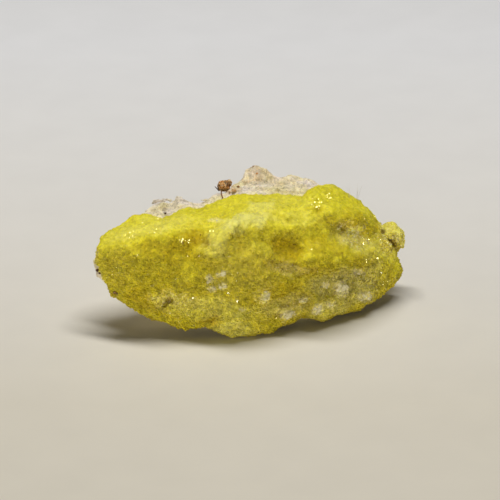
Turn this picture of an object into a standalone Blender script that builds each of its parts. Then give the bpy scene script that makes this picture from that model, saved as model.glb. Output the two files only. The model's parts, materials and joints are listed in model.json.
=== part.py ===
"""Native sulfur hand specimen: a yellow mass of grown sulfur on pale host rock, with one rusty nodule.

The broad face of the specimen leans back by FACE_LEAN. Shapes are laid out on that face in millimetres:
"across" runs along the specimen's length, "up" runs up the leaning face and "out" points out of it.
The sulfur mass and the host rock are each one closed body with an outline on the face, and with a
front and a back relief made of flat breaks, lumps, hollows and ledges. Everything rests on Z = 0.
"""

import math

import bmesh
import bpy
import numpy as np
from mathutils import Matrix, Vector, noise

MM = 0.001

# Driving dimensions, in millimetres and degrees.
FACE_LEAN = 25.0  # the broad face leans back from upright by this much
FACE_HEIGHT = 18.8  # height of the face's middle above the ground
# The specimen lies askew: its right end is farther back than its left end.
SET_BACK = 0.2  # for each millimetre across
SET_BACK_RIGHT = 0.005  # and for each square millimetre to the right of the middle
RIM_POWER = 7.0  # how late the front relief closes down to the outline: higher is squarer
BACK_POWER = 2.6  # the same for the back relief
BREAK_EDGE = 1.1  # rounding where two broad breaks meet
LUMP_SQUARENESS = 1.4  # 1 is a plain bell, higher has a flatter top and steeper sides
ROOM = 0.5  # how far a piece's room in its neighbour is swollen, so that about 0.3 stays clear
ROOM_VOXEL = 0.6
ROOM_FACE_SHARE = 0.11  # share of the faces that a room keeps
SULFUR_FACES = 5400
HOST_FACES = 1500
BODY_DIVISIONS = 8  # of the ball that a body is pulled from, before it is thinned
LUMP_DIVISIONS = 3

# Outlines on the leaning face as (across, up), clockwise from the left end.
SULFUR_OUTLINE = (
    (-44.0, 0.0), (-43.6, 7.4), (-38.2, 11.0), (-34.0, 13.0), (-30.6, 14.3), (-25.4, 12.4),
    (-22.0, 14.6), (-18.6, 15.8), (-14.9, 14.6), (-10.3, 17.1), (-5.4, 19.0), (0.5, 19.6),
    (4.2, 19.0), (7.1, 20.9), (10.6, 19.3), (15.1, 19.1), (17.3, 21.5), (20.8, 23.0),
    (24.0, 22.8), (28.6, 19.6), (34.6, 15.7), (38.0, 11.9), (40.6, 7.4), (42.8, 2.6),
    (44.7, -1.9), (43.0, -6.0), (38.9, -9.3), (33.5, -11.8), (26.3, -15.2), (21.5, -16.7),
    (17.0, -15.7), (11.7, -17.3), (3.4, -20.2), (-4.0, -22.2), (-8.0, -20.2), (-13.4, -18.8),
    (-17.0, -19.8), (-23.7, -17.4), (-31.0, -14.8), (-37.6, -10.4), (-42.6, -5.6),
)
HOST_OUTLINE = (
    (-45.4, 0.6), (-41.5, 6.6), (-35.0, 11.5), (-30.5, 14.2), (-28.4, 16.6), (-25.4, 18.0),
    (-23.4, 17.0), (-20.4, 18.8), (-17.6, 17.4), (-14.3, 17.2), (-11.4, 18.8), (-7.6, 20.8),
    (-3.6, 22.6), (-1.6, 25.6), (1.6, 27.5), (4.6, 26.4), (8.0, 24.8), (16.6, 24.2),
    (23.0, 21.6), (30.0, 16.5), (37.0, 9.5), (40.0, 1.0), (37.5, -6.0), (30.0, -11.5),
    (17.0, -16.5), (0.0, -18.5), (-21.0, -16.5), (-31.0, -11.5), (-38.5, -8.0), (-44.0, -4.6),
)

# Knob at the right end: its middle and its half sizes across, up and out.
KNOB_AT = (40.6, 7.0, -4.5)
KNOB_HALF = (4.6, 4.6, 5.0)
KNOB_ROUGHNESS = 1.5

# Rusty nodule on the top edge of the host rock: middle, half sizes, and its smaller second lobe.
NODULE_AT = (-8.0, 21.6, -11.5)
NODULE_HALF = (2.3, 2.0, 2.0)
NODULE_ROUGHNESS = 0.45
BUD_AWAY = (1.7, 1.0, 0.2)
BUD_SHARE = 0.62

# Relief of the sulfur's face: (across, up, half width, half height, turn in degrees, rise).
SULFUR_LUMPS = (
    (-1.0, 10.4, 8.5, 2.2, 9.0, 2.0),  # pale ridge over the middle of the face
    (-9.5, 5.0, 3.4, 5.0, -38.0, 1.5),  # its end, curving down to the left
    (3.2, 15.6, 4.0, 1.5, 3.0, 1.1),  # pale block above the ridge
    (11.5, 13.4, 4.5, 1.8, -8.0, 0.9),
    (21.0, 18.6, 5.6, 4.2, -12.0, 4.0),  # tall lobe at the upper right
    (28.5, 13.4, 4.6, 4.0, -40.0, 2.2),
    (-30.0, 8.0, 9.0, 3.0, 14.0, 1.5),  # left shoulder
    (-19.0, 11.8, 3.0, 2.2, 10.0, 1.3),
    (-1.0, -2.5, 8.0, 7.5, 0.0, 2.2),  # swell of the middle
    (20.0, 1.4, 7.0, 3.6, 4.0, 1.8),  # block that stands out on the right
    (30.0, 2.6, 6.0, 2.4, -14.0, 1.2),
    (39.5, -2.6, 4.4, 4.2, 0.0, 1.6),  # right end
    (21.5, -12.6, 3.6, 3.2, 20.0, 1.7),  # lumps along the lower right
    (10.0, -13.8, 4.0, 2.4, 18.0, 1.1),
    (30.5, -10.0, 3.2, 2.0, 20.0, 0.9),
    (-3.5, -17.2, 5.0, 3.4, -10.0, 2.0),  # foot
    (-14.5, -15.6, 5.0, 2.8, -8.0, 1.5),
    (-25.0, -12.4, 5.0, 3.0, -20.0, 1.2),
    (-36.0, -1.0, 6.0, 5.5, 0.0, 1.3),
)
SULFUR_HOLLOWS = (
    (-14.5, 6.4, 4.6, 3.6, 20.0, 3.0),  # valley between the left lobe and the middle
    (-18.0, -0.5, 4.6, 5.5, -18.0, 1.9),
    (10.8, 3.4, 4.2, 4.2, 10.0, 2.8),  # deep hollow left of the block
    (26.8, 9.4, 3.8, 1.5, -6.0, 2.4),  # crack under the tall lobe
    (31.5, 7.4, 3.8, 2.4, -35.0, 1.9),
    (28.0, -6.0, 9.0, 3.0, 8.0, 1.7),  # recess under the block
    (13.0, -8.5, 5.0, 4.0, 10.0, 1.2),
    (-23.2, -11.6, 1.8, 1.4, 0.0, 2.0),  # small pit at the lower left
    (-9.6, -19.2, 1.8, 2.2, 0.0, 1.4),
    (6.0, 11.9, 8.0, 1.1, 2.0, 0.9),  # groove behind the pale ridge
    (38.4, 9.0, 1.5, 4.0, 30.0, 2.4),  # crevice beside the knob
)
# Ledges: (from across, from up, to across, to up, rise, reach). Walking from the one end to the other, the
# left-hand side stands out: sharply at the line, and fading over the reach.
SULFUR_LEDGES = (
    (10.5, -1.2, 27.0, -3.4, 2.2, 6.0),  # lower edge of the block on the right
    (27.0, -3.2, 38.5, 0.2, 1.4, 4.5),
    (23.0, 11.0, 33.0, 10.6, 1.9, 5.0),  # over the crack under the tall lobe
    (-6.6, 11.2, -13.6, 2.8, 2.0, 6.0),  # end of the pale ridge, over the valley
    (-1.0, 13.5, 8.0, 13.9, 1.0, 2.6),  # lower edge of the pale block
    (-2.0, -14.2, 9.0, -12.4, -0.9, 3.0),  # over the foot
    (-41.0, 5.4, -22.0, 8.2, 0.9, 4.0),  # front edge of the left shoulder
)
LEDGE_EDGE = 0.35  # width of a ledge's step
LEDGE_WAVE = 0.45  # how far its edge wanders
LEDGE_END = 0.4  # how far a ledge runs out past its ends, as a share of its reach
HOST_LUMPS = (
    (1.8, 24.6, 3.2, 2.6, 0.0, 2.0),  # peak
    (-24.8, 16.6, 3.0, 1.6, 10.0, 1.4),
    (-19.4, 17.6, 3.2, 1.4, 0.0, 1.6),
    (12.0, 22.0, 6.0, 2.0, -4.0, 1.0),
    (-9.0, 18.8, 3.0, 1.6, 30.0, 0.9),
)
HOST_BACK_LUMPS = (
    (-22.0, 2.0, 9.0, 6.0, 15.0, 2.2),
    (6.0, 10.0, 11.0, 5.0, -10.0, 2.4),
    (24.0, -1.0, 7.0, 6.0, 30.0, 2.0),
    (-4.0, -8.0, 10.0, 4.0, 5.0, 1.6),
)
HOST_BACK_HOLLOWS = (
    (-9.0, 5.0, 4.5, 7.0, -25.0, 2.6),
    (16.0, 3.0, 4.0, 5.5, 20.0, 2.2),
    (-31.0, -2.0, 4.0, 4.0, 0.0, 1.4),
    (3.0, 0.0, 5.0, 2.0, 10.0, 1.4),
)
HOST_BACK_LEDGES = (
    (-30.0, 6.0, 2.0, -2.0, 1.8, 9.0),
    (4.0, 12.0, 26.0, 2.0, -1.6, 8.0),
    (-12.0, 15.0, 14.0, 17.0, 1.2, 5.0),
)

# Pale crystals standing in the face: (across, up, half width, half height, turn in degrees).
PALE_CRYSTALS = (
    (24.8, -7.4, 1.7, 2.3, 30.0),
    (21.2, -6.6, 1.0, 2.0, -15.0),
    (20.6, -13.2, 1.6, 2.3, -30.0),
    (24.2, -11.6, 1.2, 1.5, 40.0),
    (28.5, -9.3, 1.8, 1.3, 10.0),
    (31.6, -6.0, 1.6, 1.4, -20.0),
    (14.8, -10.2, 1.7, 0.9, -12.0),
    (11.2, -15.0, 1.9, 1.2, 25.0),
    (4.6, -9.8, 1.0, 2.0, -35.0),
    (-8.6, -3.4, 1.5, 1.0, 20.0),
    (-12.0, -4.6, 1.0, 1.4, 0.0),
    (-7.4, -6.6, 1.3, 1.0, 10.0),
    (-10.4, -7.6, 1.4, 0.9, -10.0),
    (-4.2, -14.2, 1.4, 1.8, 15.0),
)
PALE_STANDS = (0.9, 1.3)  # how far a pale crystal stands out
# Stretches where sulfur crystals are large enough to see: (across, up, reach, how many).
SULFUR_CRYSTAL_FIELDS = (
    (20.5, 17.0, 6.0, 18),
    (30.5, 8.0, 5.0, 14),
    (-17.0, 6.0, 6.0, 16),
    (-32.0, 7.5, 8.0, 16),
    (36.0, 1.0, 6.0, 14),
    (10.0, -6.5, 7.0, 12),
    (-25.0, -8.0, 10.0, 22),
    (0.0, -17.0, 8.0, 12),
    (0.0, 0.0, 40.0, 60),
)
CRYSTAL_SIZE = (0.7, 1.5)  # half width of a sulfur crystal
CRYSTAL_NARROWER = 0.8  # its other half width, as a share of that
CRYSTAL_STANDS = 0.8  # how far it stands out, as a share of that
CRYSTAL_STEEPNESS = 1.3  # above 1, the blunt top cuts the point off
CRYSTAL_LEAN = 0.45  # steepest lean of a crystal's top against the face
CRYSTAL_EDGE = 0.86  # no crystal stands farther out on the face than this share of the way to its outline
CRYSTAL_SLOPE = 0.8  # steepest slope of the face that a crystal's faces follow
CRYSTAL_SPREAD = 1.5  # a crystal's faces end this many half widths from its middle
SLOPE_STEP = 0.3  # the face's slope under a crystal is taken over this much each way


def clear_scene():
    for old in list(bpy.data.objects):
        bpy.data.objects.remove(old)


def face_frame():
    """Matrix from the leaning face's (across, up, out) in millimetres to world metres."""
    lean = math.radians(FACE_LEAN)
    up = Vector((0.0, math.sin(lean), math.cos(lean)))
    out = Vector((0.0, -math.cos(lean), math.sin(lean)))
    turn = Matrix((Vector((1.0, 0.0, 0.0)), up, out)).transposed().to_4x4()
    return Matrix.Translation((0.0, 0.0, FACE_HEIGHT * MM)) @ turn @ Matrix.Scale(MM, 4)


def outline_reach(outline, angles):
    """Distance from the middle of the face to a closed outline, at each angle."""
    points = np.array(outline)
    turn = np.unwrap(np.arctan2(points[:, 1], points[:, 0]))
    reach = np.hypot(points[:, 0], points[:, 1])
    order = np.argsort(turn)
    around = np.concatenate([turn[order] - math.tau, turn[order], turn[order] + math.tau])
    low = turn.min()
    return np.interp((angles - low) % math.tau + low, around, np.tile(reach[order], 3))


def soft_least(surfaces, softness):
    """The least of several reliefs, with their meeting edges rounded over about this many millimetres."""
    stack = np.stack(surfaces)
    least = stack.min(axis=0)
    return least - softness * np.log(np.exp((least - stack) / softness).sum(axis=0))


def set_back(across):
    """How far back the whole specimen lies at a place across."""
    return SET_BACK * across + SET_BACK_RIGHT * np.maximum(across, 0.0) ** 2


def turned(across, up, degrees):
    """The same place, measured along directions turned by some degrees."""
    cos, sin = math.cos(math.radians(degrees)), math.sin(math.radians(degrees))
    return across * cos + up * sin, up * cos - across * sin


def swelling(across, up, features):
    """Sum of round-topped rises, each (across, up, half width, half height, turn, rise)."""
    total = np.zeros_like(across)
    for at_across, at_up, half_width, half_height, turn, rise in features:
        along, over = turned(across - at_across, up - at_up, turn)
        away_squared = (along / half_width) ** 2 + (over / half_height) ** 2
        total += rise * np.exp(-(away_squared**LUMP_SQUARENESS))
    return total


def stepping(across, up, ledges):
    """Sum of ledges with slightly wavy edges."""
    total = np.zeros_like(across)
    for from_across, from_up, to_across, to_up, rise, reach in ledges:
        run = math.degrees(math.atan2(to_up - from_up, to_across - from_across))
        length = math.hypot(to_up - from_up, to_across - from_across)
        along, away = turned(across - from_across, up - from_up, run)
        away = away + LEDGE_WAVE * (np.sin(1.1 * along) + 0.5 * np.sin(2.7 * along + 1.0))
        beyond = np.maximum(np.maximum(-along, along - length), 0.0)
        step = 0.5 + 0.5 * np.tanh(away / LEDGE_EDGE)
        fade = np.exp(-((away / reach) ** 2) - (beyond / (LEDGE_END * reach)) ** 2)
        total += rise * step * fade
    return total


def sulfur_front(across, up):
    """How far the sulfur's face stands out: broad breaks first, then its lumps and hollows."""
    breaks = [
        12.2 + 0.05 * up,  # middle
        15.6 + 0.27 * across + 0.05 * up,  # turns away to the left end
        18.6 - 0.36 * across,  # turns away to the right end
        12.4 - 1.15 * (up - 11.0),  # slope from the ridge up to the crest
        24.9 + 0.38 * across - 1.0 * up,  # the same slope over the left lobe
        20.6 + 0.72 * up,  # undercut above the ground
        17.2 + 0.34 * across + 0.62 * up,  # undercut of the left lobe
        11.2 + 0.4 * up + 0.03 * np.abs(across - 20.0) ** 1.5,  # nearly upright on the lower right
    ]
    relief = soft_least(breaks, BREAK_EDGE) + stepping(across, up, SULFUR_LEDGES)
    return relief + swelling(across, up, SULFUR_LUMPS) - swelling(across, up, SULFUR_HOLLOWS)


def sulfur_back(across, up):
    return -9.0 + 0.05 * across + 0.1 * up


def sulfur_rim(angles):
    """How far out the sulfur's outline lies: forward at the foot, back at the crest and ends."""
    return 0.6 - 1.8 * np.sin(angles) - 2.0 * np.cos(angles) ** 2


def host_front(across, up):
    """The rock's own top slope where it shows above the sulfur, and well inside the sulfur elsewhere."""
    breaks = [
        -3.6 - 1.15 * (up - 19.0),
        sulfur_front(across, up) - 8.0,
    ]
    return soft_least(breaks, BREAK_EDGE) + swelling(across, up, HOST_LUMPS)


def host_back(across, up):
    breaks = [
        28.0 - 0.45 * up,  # nearly upright back
        40.6 + 0.66 * across - 0.2 * up,
        41.5 - 0.74 * across - 0.3 * up,
        15.5 + 1.25 * (26.0 - up),  # top edge falling away behind the peak
    ]
    depth = soft_least(breaks, BREAK_EDGE)
    depth += swelling(across, up, HOST_BACK_LUMPS) - swelling(across, up, HOST_BACK_HOLLOWS)
    depth += stepping(across, up, HOST_BACK_LEDGES)
    return -depth


def host_rim(angles):
    return -12.5 + 1.5 * np.sin(angles)


def sphere_mesh(name, divisions):
    ball = bmesh.new()
    bmesh.ops.create_icosphere(ball, subdivisions=divisions, radius=1.0)
    mesh = bpy.data.meshes.new(name)
    ball.to_mesh(mesh)
    ball.free()
    return mesh


def read_points(mesh):
    points = np.empty(len(mesh.vertices) * 3)
    mesh.vertices.foreach_get("co", points)
    return points.reshape(-1, 3)


def write_points(mesh, points):
    mesh.vertices.foreach_set("co", points.ravel())
    mesh.update()


def broken_surface(point, seed):
    """How far broken, grown stone stands out at a point, in millimetres: swells, breaks and grains."""
    at = Vector(point) + Vector((seed, 2.0 * seed, -seed))
    swell = noise.fractal(at / 9.0, 1.0, 2.1, 3, noise_basis="PERLIN_ORIGINAL")
    near, _ = noise.voronoi(at / 4.2)
    angular = near[1] - near[0]
    close, _ = noise.voronoi(at / 1.9)
    grains = close[1] - close[0]
    return 0.75 * swell + 0.9 * (angular - 0.25) + 0.42 * (grains - 0.25)


def roughen(mesh, seed, strength=1.0):
    normals = np.empty(len(mesh.vertices) * 3)
    mesh.vertex_normals.foreach_get("vector", normals)
    points = read_points(mesh)
    rise = np.array([broken_surface(p, seed) for p in points])
    write_points(mesh, points + strength * rise[:, None] * normals.reshape(-1, 3))


def part_way(outline, across, up):
    """How far out a place lies, as a share of the way from the middle of the face to the outline."""
    return np.clip(np.hypot(across, up) / outline_reach(outline, np.arctan2(up, across)), 0.0, 1.0)


def closed_relief(across, up, outline, rim, side, power):
    """One side's relief, brought down to the rim at the outline."""
    edge = rim(np.arctan2(up, across))
    fullness = np.sqrt(1.0 - part_way(outline, across, up) ** power)
    return edge + (side(across, up) - edge) * fullness


def relief_body(name, outline, rim, front, back, seed, tops=None):
    """A closed body laid out on the face: its outline seen from the front, and a relief on each side."""
    mesh = sphere_mesh(name, BODY_DIVISIONS)
    ball = read_points(mesh)
    angles = np.arctan2(ball[:, 1], ball[:, 0])
    reach = outline_reach(outline, angles) * np.clip(np.hypot(ball[:, 0], ball[:, 1]), 0.0, 1.0)
    across, up = reach * np.cos(angles), reach * np.sin(angles)
    facing = ball[:, 2] >= 0.0
    front_out = closed_relief(across, up, outline, rim, front, RIM_POWER)
    back_out = closed_relief(across, up, outline, rim, back, BACK_POWER)
    write_points(mesh, np.column_stack([across, up, np.where(facing, front_out, back_out)]))
    roughen(mesh, seed)
    if tops:
        points = read_points(mesh)
        raised = np.maximum(points[:, 2], tops(points[:, 0], points[:, 1]))
        points[:, 2] = np.where(facing, raised, points[:, 2])
        write_points(mesh, points)
    points = read_points(mesh)
    points[:, 2] -= set_back(points[:, 0])
    write_points(mesh, points)
    mesh.transform(face_frame())
    return mesh


def sulfur_face(across, up):
    """The sulfur's face before crystals grow on it."""
    return closed_relief(across, up, SULFUR_OUTLINE, sulfur_rim, sulfur_front, RIM_POWER)


def crystal_top(across, up, crystal, sides, stands, lean):
    """Flat faces of one crystal: sloping sides that meet in a blunt, leaning top."""
    at_across, at_up, half_width, half_height, turn = crystal
    around_across = at_across + SLOPE_STEP * np.array([0.0, -1.0, 1.0, 0.0, 0.0])
    around_up = at_up + SLOPE_STEP * np.array([0.0, 0.0, 0.0, -1.0, 1.0])
    foot, left, right, low, high = sulfur_face(around_across, around_up)
    slopes = np.array([right - left, high - low]) / (2.0 * SLOPE_STEP)
    slope_across, slope_up = np.clip(slopes, -CRYSTAL_SLOPE, CRYSTAL_SLOPE)
    ground = foot + slope_across * (across - at_across) + slope_up * (up - at_up)
    along, over = turned(across - at_across, up - at_up, turn)
    top = ground + stands + lean[0] * (across - at_across) + lean[1] * (up - at_up)
    for side in range(sides):
        way = math.tau * side / sides
        out_to_side = along / half_width * math.cos(way) + over / half_height * math.sin(way)
        top = np.minimum(top, ground + CRYSTAL_STEEPNESS * stands * (1.0 - out_to_side))
    return top


def crystal_tops(across, up):
    """The highest crystal over each place of the face, and far below it where there is none."""
    rng = np.random.default_rng(11)
    grown = [
        (crystal, 6, rng.uniform(*PALE_STANDS), rng.uniform(-CRYSTAL_LEAN, CRYSTAL_LEAN, 2))
        for crystal in PALE_CRYSTALS
    ]
    for field_across, field_up, reach, count in SULFUR_CRYSTAL_FIELDS:
        for _ in range(count):
            away, angle = reach * math.sqrt(rng.uniform()), rng.uniform(0.0, math.tau)
            size, turn = rng.uniform(*CRYSTAL_SIZE), rng.uniform(0.0, 90.0)
            lean = rng.uniform(-CRYSTAL_LEAN, CRYSTAL_LEAN, 2)
            at_across = field_across + away * math.cos(angle)
            at_up = field_up + 0.7 * away * math.sin(angle)
            if part_way(SULFUR_OUTLINE, at_across, at_up) < CRYSTAL_EDGE:
                crystal = (at_across, at_up, size, CRYSTAL_NARROWER * size, turn)
                grown.append((crystal, 4, CRYSTAL_STANDS * size, lean))
    highest = np.full_like(across, -np.inf)
    for crystal, sides, stands, lean in grown:
        near = np.hypot(across - crystal[0], up - crystal[1]) < CRYSTAL_SPREAD * max(crystal[2:4])
        top = crystal_top(across[near], up[near], crystal, sides, stands, lean)
        highest[near] = np.maximum(highest[near], top)
    return highest


def place(name, mesh, material, hidden=False):
    made = bpy.data.objects.new(name, mesh)
    bpy.context.scene.collection.objects.link(made)
    if material:
        mesh.materials.clear()
        mesh.materials.append(material)
    if hidden:
        made.hide_render = True
        made.display_type = "WIRE"
    return made


def add_boolean(target, operation, other):
    cut = target.modifiers.new(f"{operation.lower()} {other.name}", "BOOLEAN")
    cut.operation = operation
    cut.object = other
    cut.solver = "EXACT"


def evaluated_mesh(thing):
    graph = bpy.context.evaluated_depsgraph_get()
    return bpy.data.meshes.new_from_object(thing.evaluated_get(graph), depsgraph=graph)


def lump_mesh(name, middle, half, seed, rough):
    """A rough rounded lump on the face."""
    across, up, out = middle
    mesh = sphere_mesh(name, LUMP_DIVISIONS)
    write_points(mesh, read_points(mesh) * np.array(half) + (across, up, out - set_back(across)))
    roughen(mesh, seed, rough)
    mesh.transform(face_frame())
    return mesh


def thinned(mesh, faces):
    """The mesh with about this many faces, the flat stretches thinned first."""
    holder = place("thinned", mesh, None)
    thin = holder.modifiers.new("fewer faces", "DECIMATE")
    thin.ratio = faces / len(mesh.polygons)
    fewer = evaluated_mesh(holder)
    bpy.data.objects.remove(holder)
    return fewer


def cut_off_flat(mesh):
    """Takes away what is below Z = 0 and closes the cut with a flat face to rest on."""
    shape = bmesh.new()
    shape.from_mesh(mesh)
    everything = shape.verts[:] + shape.edges[:] + shape.faces[:]
    cut = bmesh.ops.bisect_plane(
        shape, geom=everything, plane_co=(0.0, 0.0, 0.0), plane_no=(0.0, 0.0, 1.0), clear_inner=True
    )
    edges = [part for part in cut["geom_cut"] if isinstance(part, bmesh.types.BMEdge)]
    bmesh.ops.contextual_create(shape, geom=edges)
    bmesh.ops.recalc_face_normals(shape, faces=shape.faces)
    shape.to_mesh(mesh)
    shape.free()


def room_for(thing):
    """A hidden, simpler copy of a piece, swollen all over, that clears room for it in its neighbour."""
    copy = place(f"room_for_{thing.name}", evaluated_mesh(thing), None, hidden=True)
    skin = copy.modifiers.new("even skin", "REMESH")
    skin.mode = "VOXEL"
    skin.voxel_size = ROOM_VOXEL * MM
    swell = copy.modifiers.new("swell", "DISPLACE")
    swell.strength = ROOM * MM
    swell.mid_level = 0.0
    thin = copy.modifiers.new("fewer faces", "DECIMATE")
    thin.ratio = ROOM_FACE_SHARE
    return copy


def plain_material(name, colour, roughness):
    made = bpy.data.materials.new(name)
    made.use_nodes = True
    shader = made.node_tree.nodes["Principled BSDF"]
    shader.inputs["Base Color"].default_value = (*colour, 1.0)
    shader.inputs["Roughness"].default_value = roughness
    shader.inputs["Metallic"].default_value = 0.0
    made.diffuse_color = (*colour, 1.0)
    return made


def make_sulfur_mass():
    mesh = relief_body(
        "sulfur_mass", SULFUR_OUTLINE, sulfur_rim, sulfur_front, sulfur_back, 3.0, tops=crystal_tops
    )
    mesh = thinned(mesh, SULFUR_FACES)
    cut_off_flat(mesh)
    mass = place("sulfur_mass", mesh, plain_material("sulfur", (0.62, 0.56, 0.05), 0.45))
    knob = lump_mesh("end knob", KNOB_AT, KNOB_HALF, 21.0, KNOB_ROUGHNESS)
    add_boolean(mass, "UNION", place("end_knob", knob, None, hidden=True))
    return mass


def make_nodule():
    middle, half = Vector(NODULE_AT), Vector(NODULE_HALF)
    mesh = lump_mesh("rusty_nodule", middle, half, 31.0, NODULE_ROUGHNESS)
    nodule = place("rusty_nodule", mesh, plain_material("rust", (0.30, 0.10, 0.02), 0.7))
    bud = lump_mesh("nodule bud", middle + Vector(BUD_AWAY), BUD_SHARE * half, 35.0, NODULE_ROUGHNESS)
    add_boolean(nodule, "UNION", place("nodule_bud", bud, None, hidden=True))
    return nodule


def make_host_rock(neighbours):
    mesh = relief_body("host_rock", HOST_OUTLINE, host_rim, host_front, host_back, 50.0)
    mesh = thinned(mesh, HOST_FACES)
    cut_off_flat(mesh)
    rock = place("host_rock", mesh, plain_material("host rock", (0.68, 0.62, 0.52), 0.85))
    for neighbour in neighbours:
        add_boolean(rock, "DIFFERENCE", room_for(neighbour))
    return rock


def centre_on_ground(pieces):
    """Moves everything so that the origin is under the middle of the specimen's box."""
    corners = np.concatenate([read_points(evaluated_mesh(piece)) for piece in pieces])
    middle = (corners.min(axis=0) + corners.max(axis=0)) / 2.0
    for thing in bpy.data.objects:
        thing.data.transform(Matrix.Translation((-middle[0], -middle[1], 0.0)))
    return middle


def main():
    clear_scene()
    mass = make_sulfur_mass()
    nodule = make_nodule()
    rock = make_host_rock((mass, nodule))
    shift = centre_on_ground((mass, nodule, rock))
    print("moved back to the origin by", [round(float(v) / MM, 3) for v in shift[:2]], "mm")


main()
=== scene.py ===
import json
import math

import bmesh
import bpy
import numpy as np
from mathutils import Matrix, Vector, noise
from mathutils.bvhtree import BVHTree

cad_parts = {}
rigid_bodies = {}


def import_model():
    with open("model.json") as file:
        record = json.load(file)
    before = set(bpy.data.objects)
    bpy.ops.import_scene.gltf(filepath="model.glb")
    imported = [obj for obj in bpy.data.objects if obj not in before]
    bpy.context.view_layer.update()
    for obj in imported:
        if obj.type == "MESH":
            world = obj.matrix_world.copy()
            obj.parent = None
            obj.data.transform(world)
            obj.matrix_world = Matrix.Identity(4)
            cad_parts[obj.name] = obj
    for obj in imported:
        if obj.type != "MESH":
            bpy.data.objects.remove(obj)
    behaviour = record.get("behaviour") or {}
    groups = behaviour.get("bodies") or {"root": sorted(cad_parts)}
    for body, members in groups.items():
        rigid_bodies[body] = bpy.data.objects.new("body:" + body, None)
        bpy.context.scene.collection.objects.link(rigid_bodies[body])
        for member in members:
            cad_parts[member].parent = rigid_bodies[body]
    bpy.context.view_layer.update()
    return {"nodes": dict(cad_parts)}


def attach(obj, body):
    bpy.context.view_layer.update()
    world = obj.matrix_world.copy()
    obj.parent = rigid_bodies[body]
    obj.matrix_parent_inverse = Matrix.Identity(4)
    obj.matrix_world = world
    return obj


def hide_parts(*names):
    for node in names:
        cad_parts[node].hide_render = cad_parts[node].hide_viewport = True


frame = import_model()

mm = 0.001
noise.seed_set(7)  # noise_vector starts from the clock otherwise, and every run would differ

# The broad face leans back. Places on it are (across, up, out) in millimetres from its middle:
# across runs along the specimen, up runs up the leaning face, and out points out of it.
face = {
    "lean": 25.0,
    "middle": (-0.04, -6.97, 18.8),
}


def faceMatrix():
    lean = math.radians(face["lean"])
    up = Vector((0.0, math.sin(lean), math.cos(lean)))
    out = Vector((0.0, -math.cos(lean), math.sin(lean)))
    turn = Matrix((Vector((1.0, 0.0, 0.0)), up, out)).transposed().to_4x4()
    return Matrix.Translation(Vector(face["middle"]) * mm) @ turn @ Matrix.Scale(mm, 4)


faceToWorld = faceMatrix()
worldToFace = faceToWorld.inverted()
outOfFace = (faceToWorld.to_3x3() @ Vector((0.0, 0.0, 1.0))).normalized()


def readPoints(mesh):
    points = np.empty(len(mesh.vertices) * 3)
    mesh.vertices.foreach_get("co", points)
    return points.reshape(-1, 3)


def writePoints(mesh, points):
    mesh.vertices.foreach_set("co", points.ravel())
    mesh.update()


def readNormals(mesh):
    normals = np.empty(len(mesh.vertices) * 3)
    mesh.vertex_normals.foreach_get("vector", normals)
    return normals.reshape(-1, 3)


def onFace(points):
    # world metres to (across, up, out) millimetres
    turned = np.array(worldToFace)
    return points @ turned[:3, :3].T + turned[:3, 3]


def smoothed(mesh, values, rounds):
    # each round moves every vertex's values to its neighbours' mean
    ends = np.empty(len(mesh.edges) * 2, dtype=np.int32)
    mesh.edges.foreach_get("vertices", ends)
    one, other = ends.reshape(-1, 2).T
    count = len(mesh.vertices)
    neighbours = np.bincount(one, minlength=count) + np.bincount(other, minlength=count)
    values = values.reshape(count, -1)
    for _ in range(rounds):
        total = np.empty_like(values)
        for column in range(values.shape[1]):
            total[:, column] = np.bincount(one, values[other, column], count)
            total[:, column] += np.bincount(other, values[one, column], count)
        values = total / neighbours[:, None]
    return values


def storeValues(mesh, name, values):
    layer = mesh.attributes.new(name, "FLOAT", "POINT")
    layer.data.foreach_set("value", np.asarray(values, dtype=np.float32))


def storeEverywhere(mesh, **values):
    for name, value in values.items():
        storeValues(mesh, name, np.full(len(mesh.vertices), value))


def newObject(name, mesh):
    made = bpy.data.objects.new(name, mesh)
    bpy.context.scene.collection.objects.link(made)
    return made


def evaluatedMesh(thing):
    graph = bpy.context.evaluated_depsgraph_get()
    return bpy.data.meshes.new_from_object(thing.evaluated_get(graph), depsgraph=graph)


def asPlainMesh(thing):
    # the modifiers' result becomes the object's own mesh
    mesh = evaluatedMesh(thing)
    thing.modifiers.clear()
    thing.data = mesh
    return thing


mergeDistance = 0.002  # millimetres


def remeshed(thing, voxel):
    # even faces of about this size all over
    remesh = thing.modifiers.new("even skin", "REMESH")
    remesh.mode = "VOXEL"
    remesh.voxel_size = voxel * mm
    return asPlainMesh(thing)


def evenSkin(name, node, voxel):
    # an evenly meshed copy of a CAD node, ready for finer relief
    whole = bmesh.new()
    whole.from_mesh(frame["nodes"][node].data)
    bmesh.ops.remove_doubles(whole, verts=whole.verts, dist=mergeDistance * mm)
    mesh = bpy.data.meshes.new(name)
    whole.to_mesh(mesh)
    whole.free()
    return remeshed(newObject(name, mesh), voxel)


def hullMesh(name, points):
    shape = bmesh.new()
    for point in points:
        shape.verts.new(point)
    bmesh.ops.convex_hull(shape, input=shape.verts)
    bmesh.ops.delete(shape, geom=[v for v in shape.verts if not v.link_faces], context="VERTS")
    bmesh.ops.recalc_face_normals(shape, faces=shape.faces)
    mesh = bpy.data.meshes.new(name)
    shape.to_mesh(mesh)
    shape.free()
    return mesh


def joinedMesh(name, meshes):
    together = bmesh.new()
    for mesh in meshes:
        together.from_mesh(mesh)
        bpy.data.meshes.remove(mesh)
    mesh = bpy.data.meshes.new(name)
    together.to_mesh(mesh)
    together.free()
    return mesh


def treeOf(thing):
    points = [v.co.copy() for v in thing.data.vertices]
    return BVHTree.FromPolygons(points, [tuple(p.vertices) for p in thing.data.polygons])


def finishPiece(piece, material, smooth):
    if material:
        piece.data.materials.clear()
        piece.data.materials.append(material)
    if smooth is not None:
        piece.data.polygons.foreach_set("use_smooth", [smooth] * len(piece.data.polygons))
    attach(piece, "root")


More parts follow.
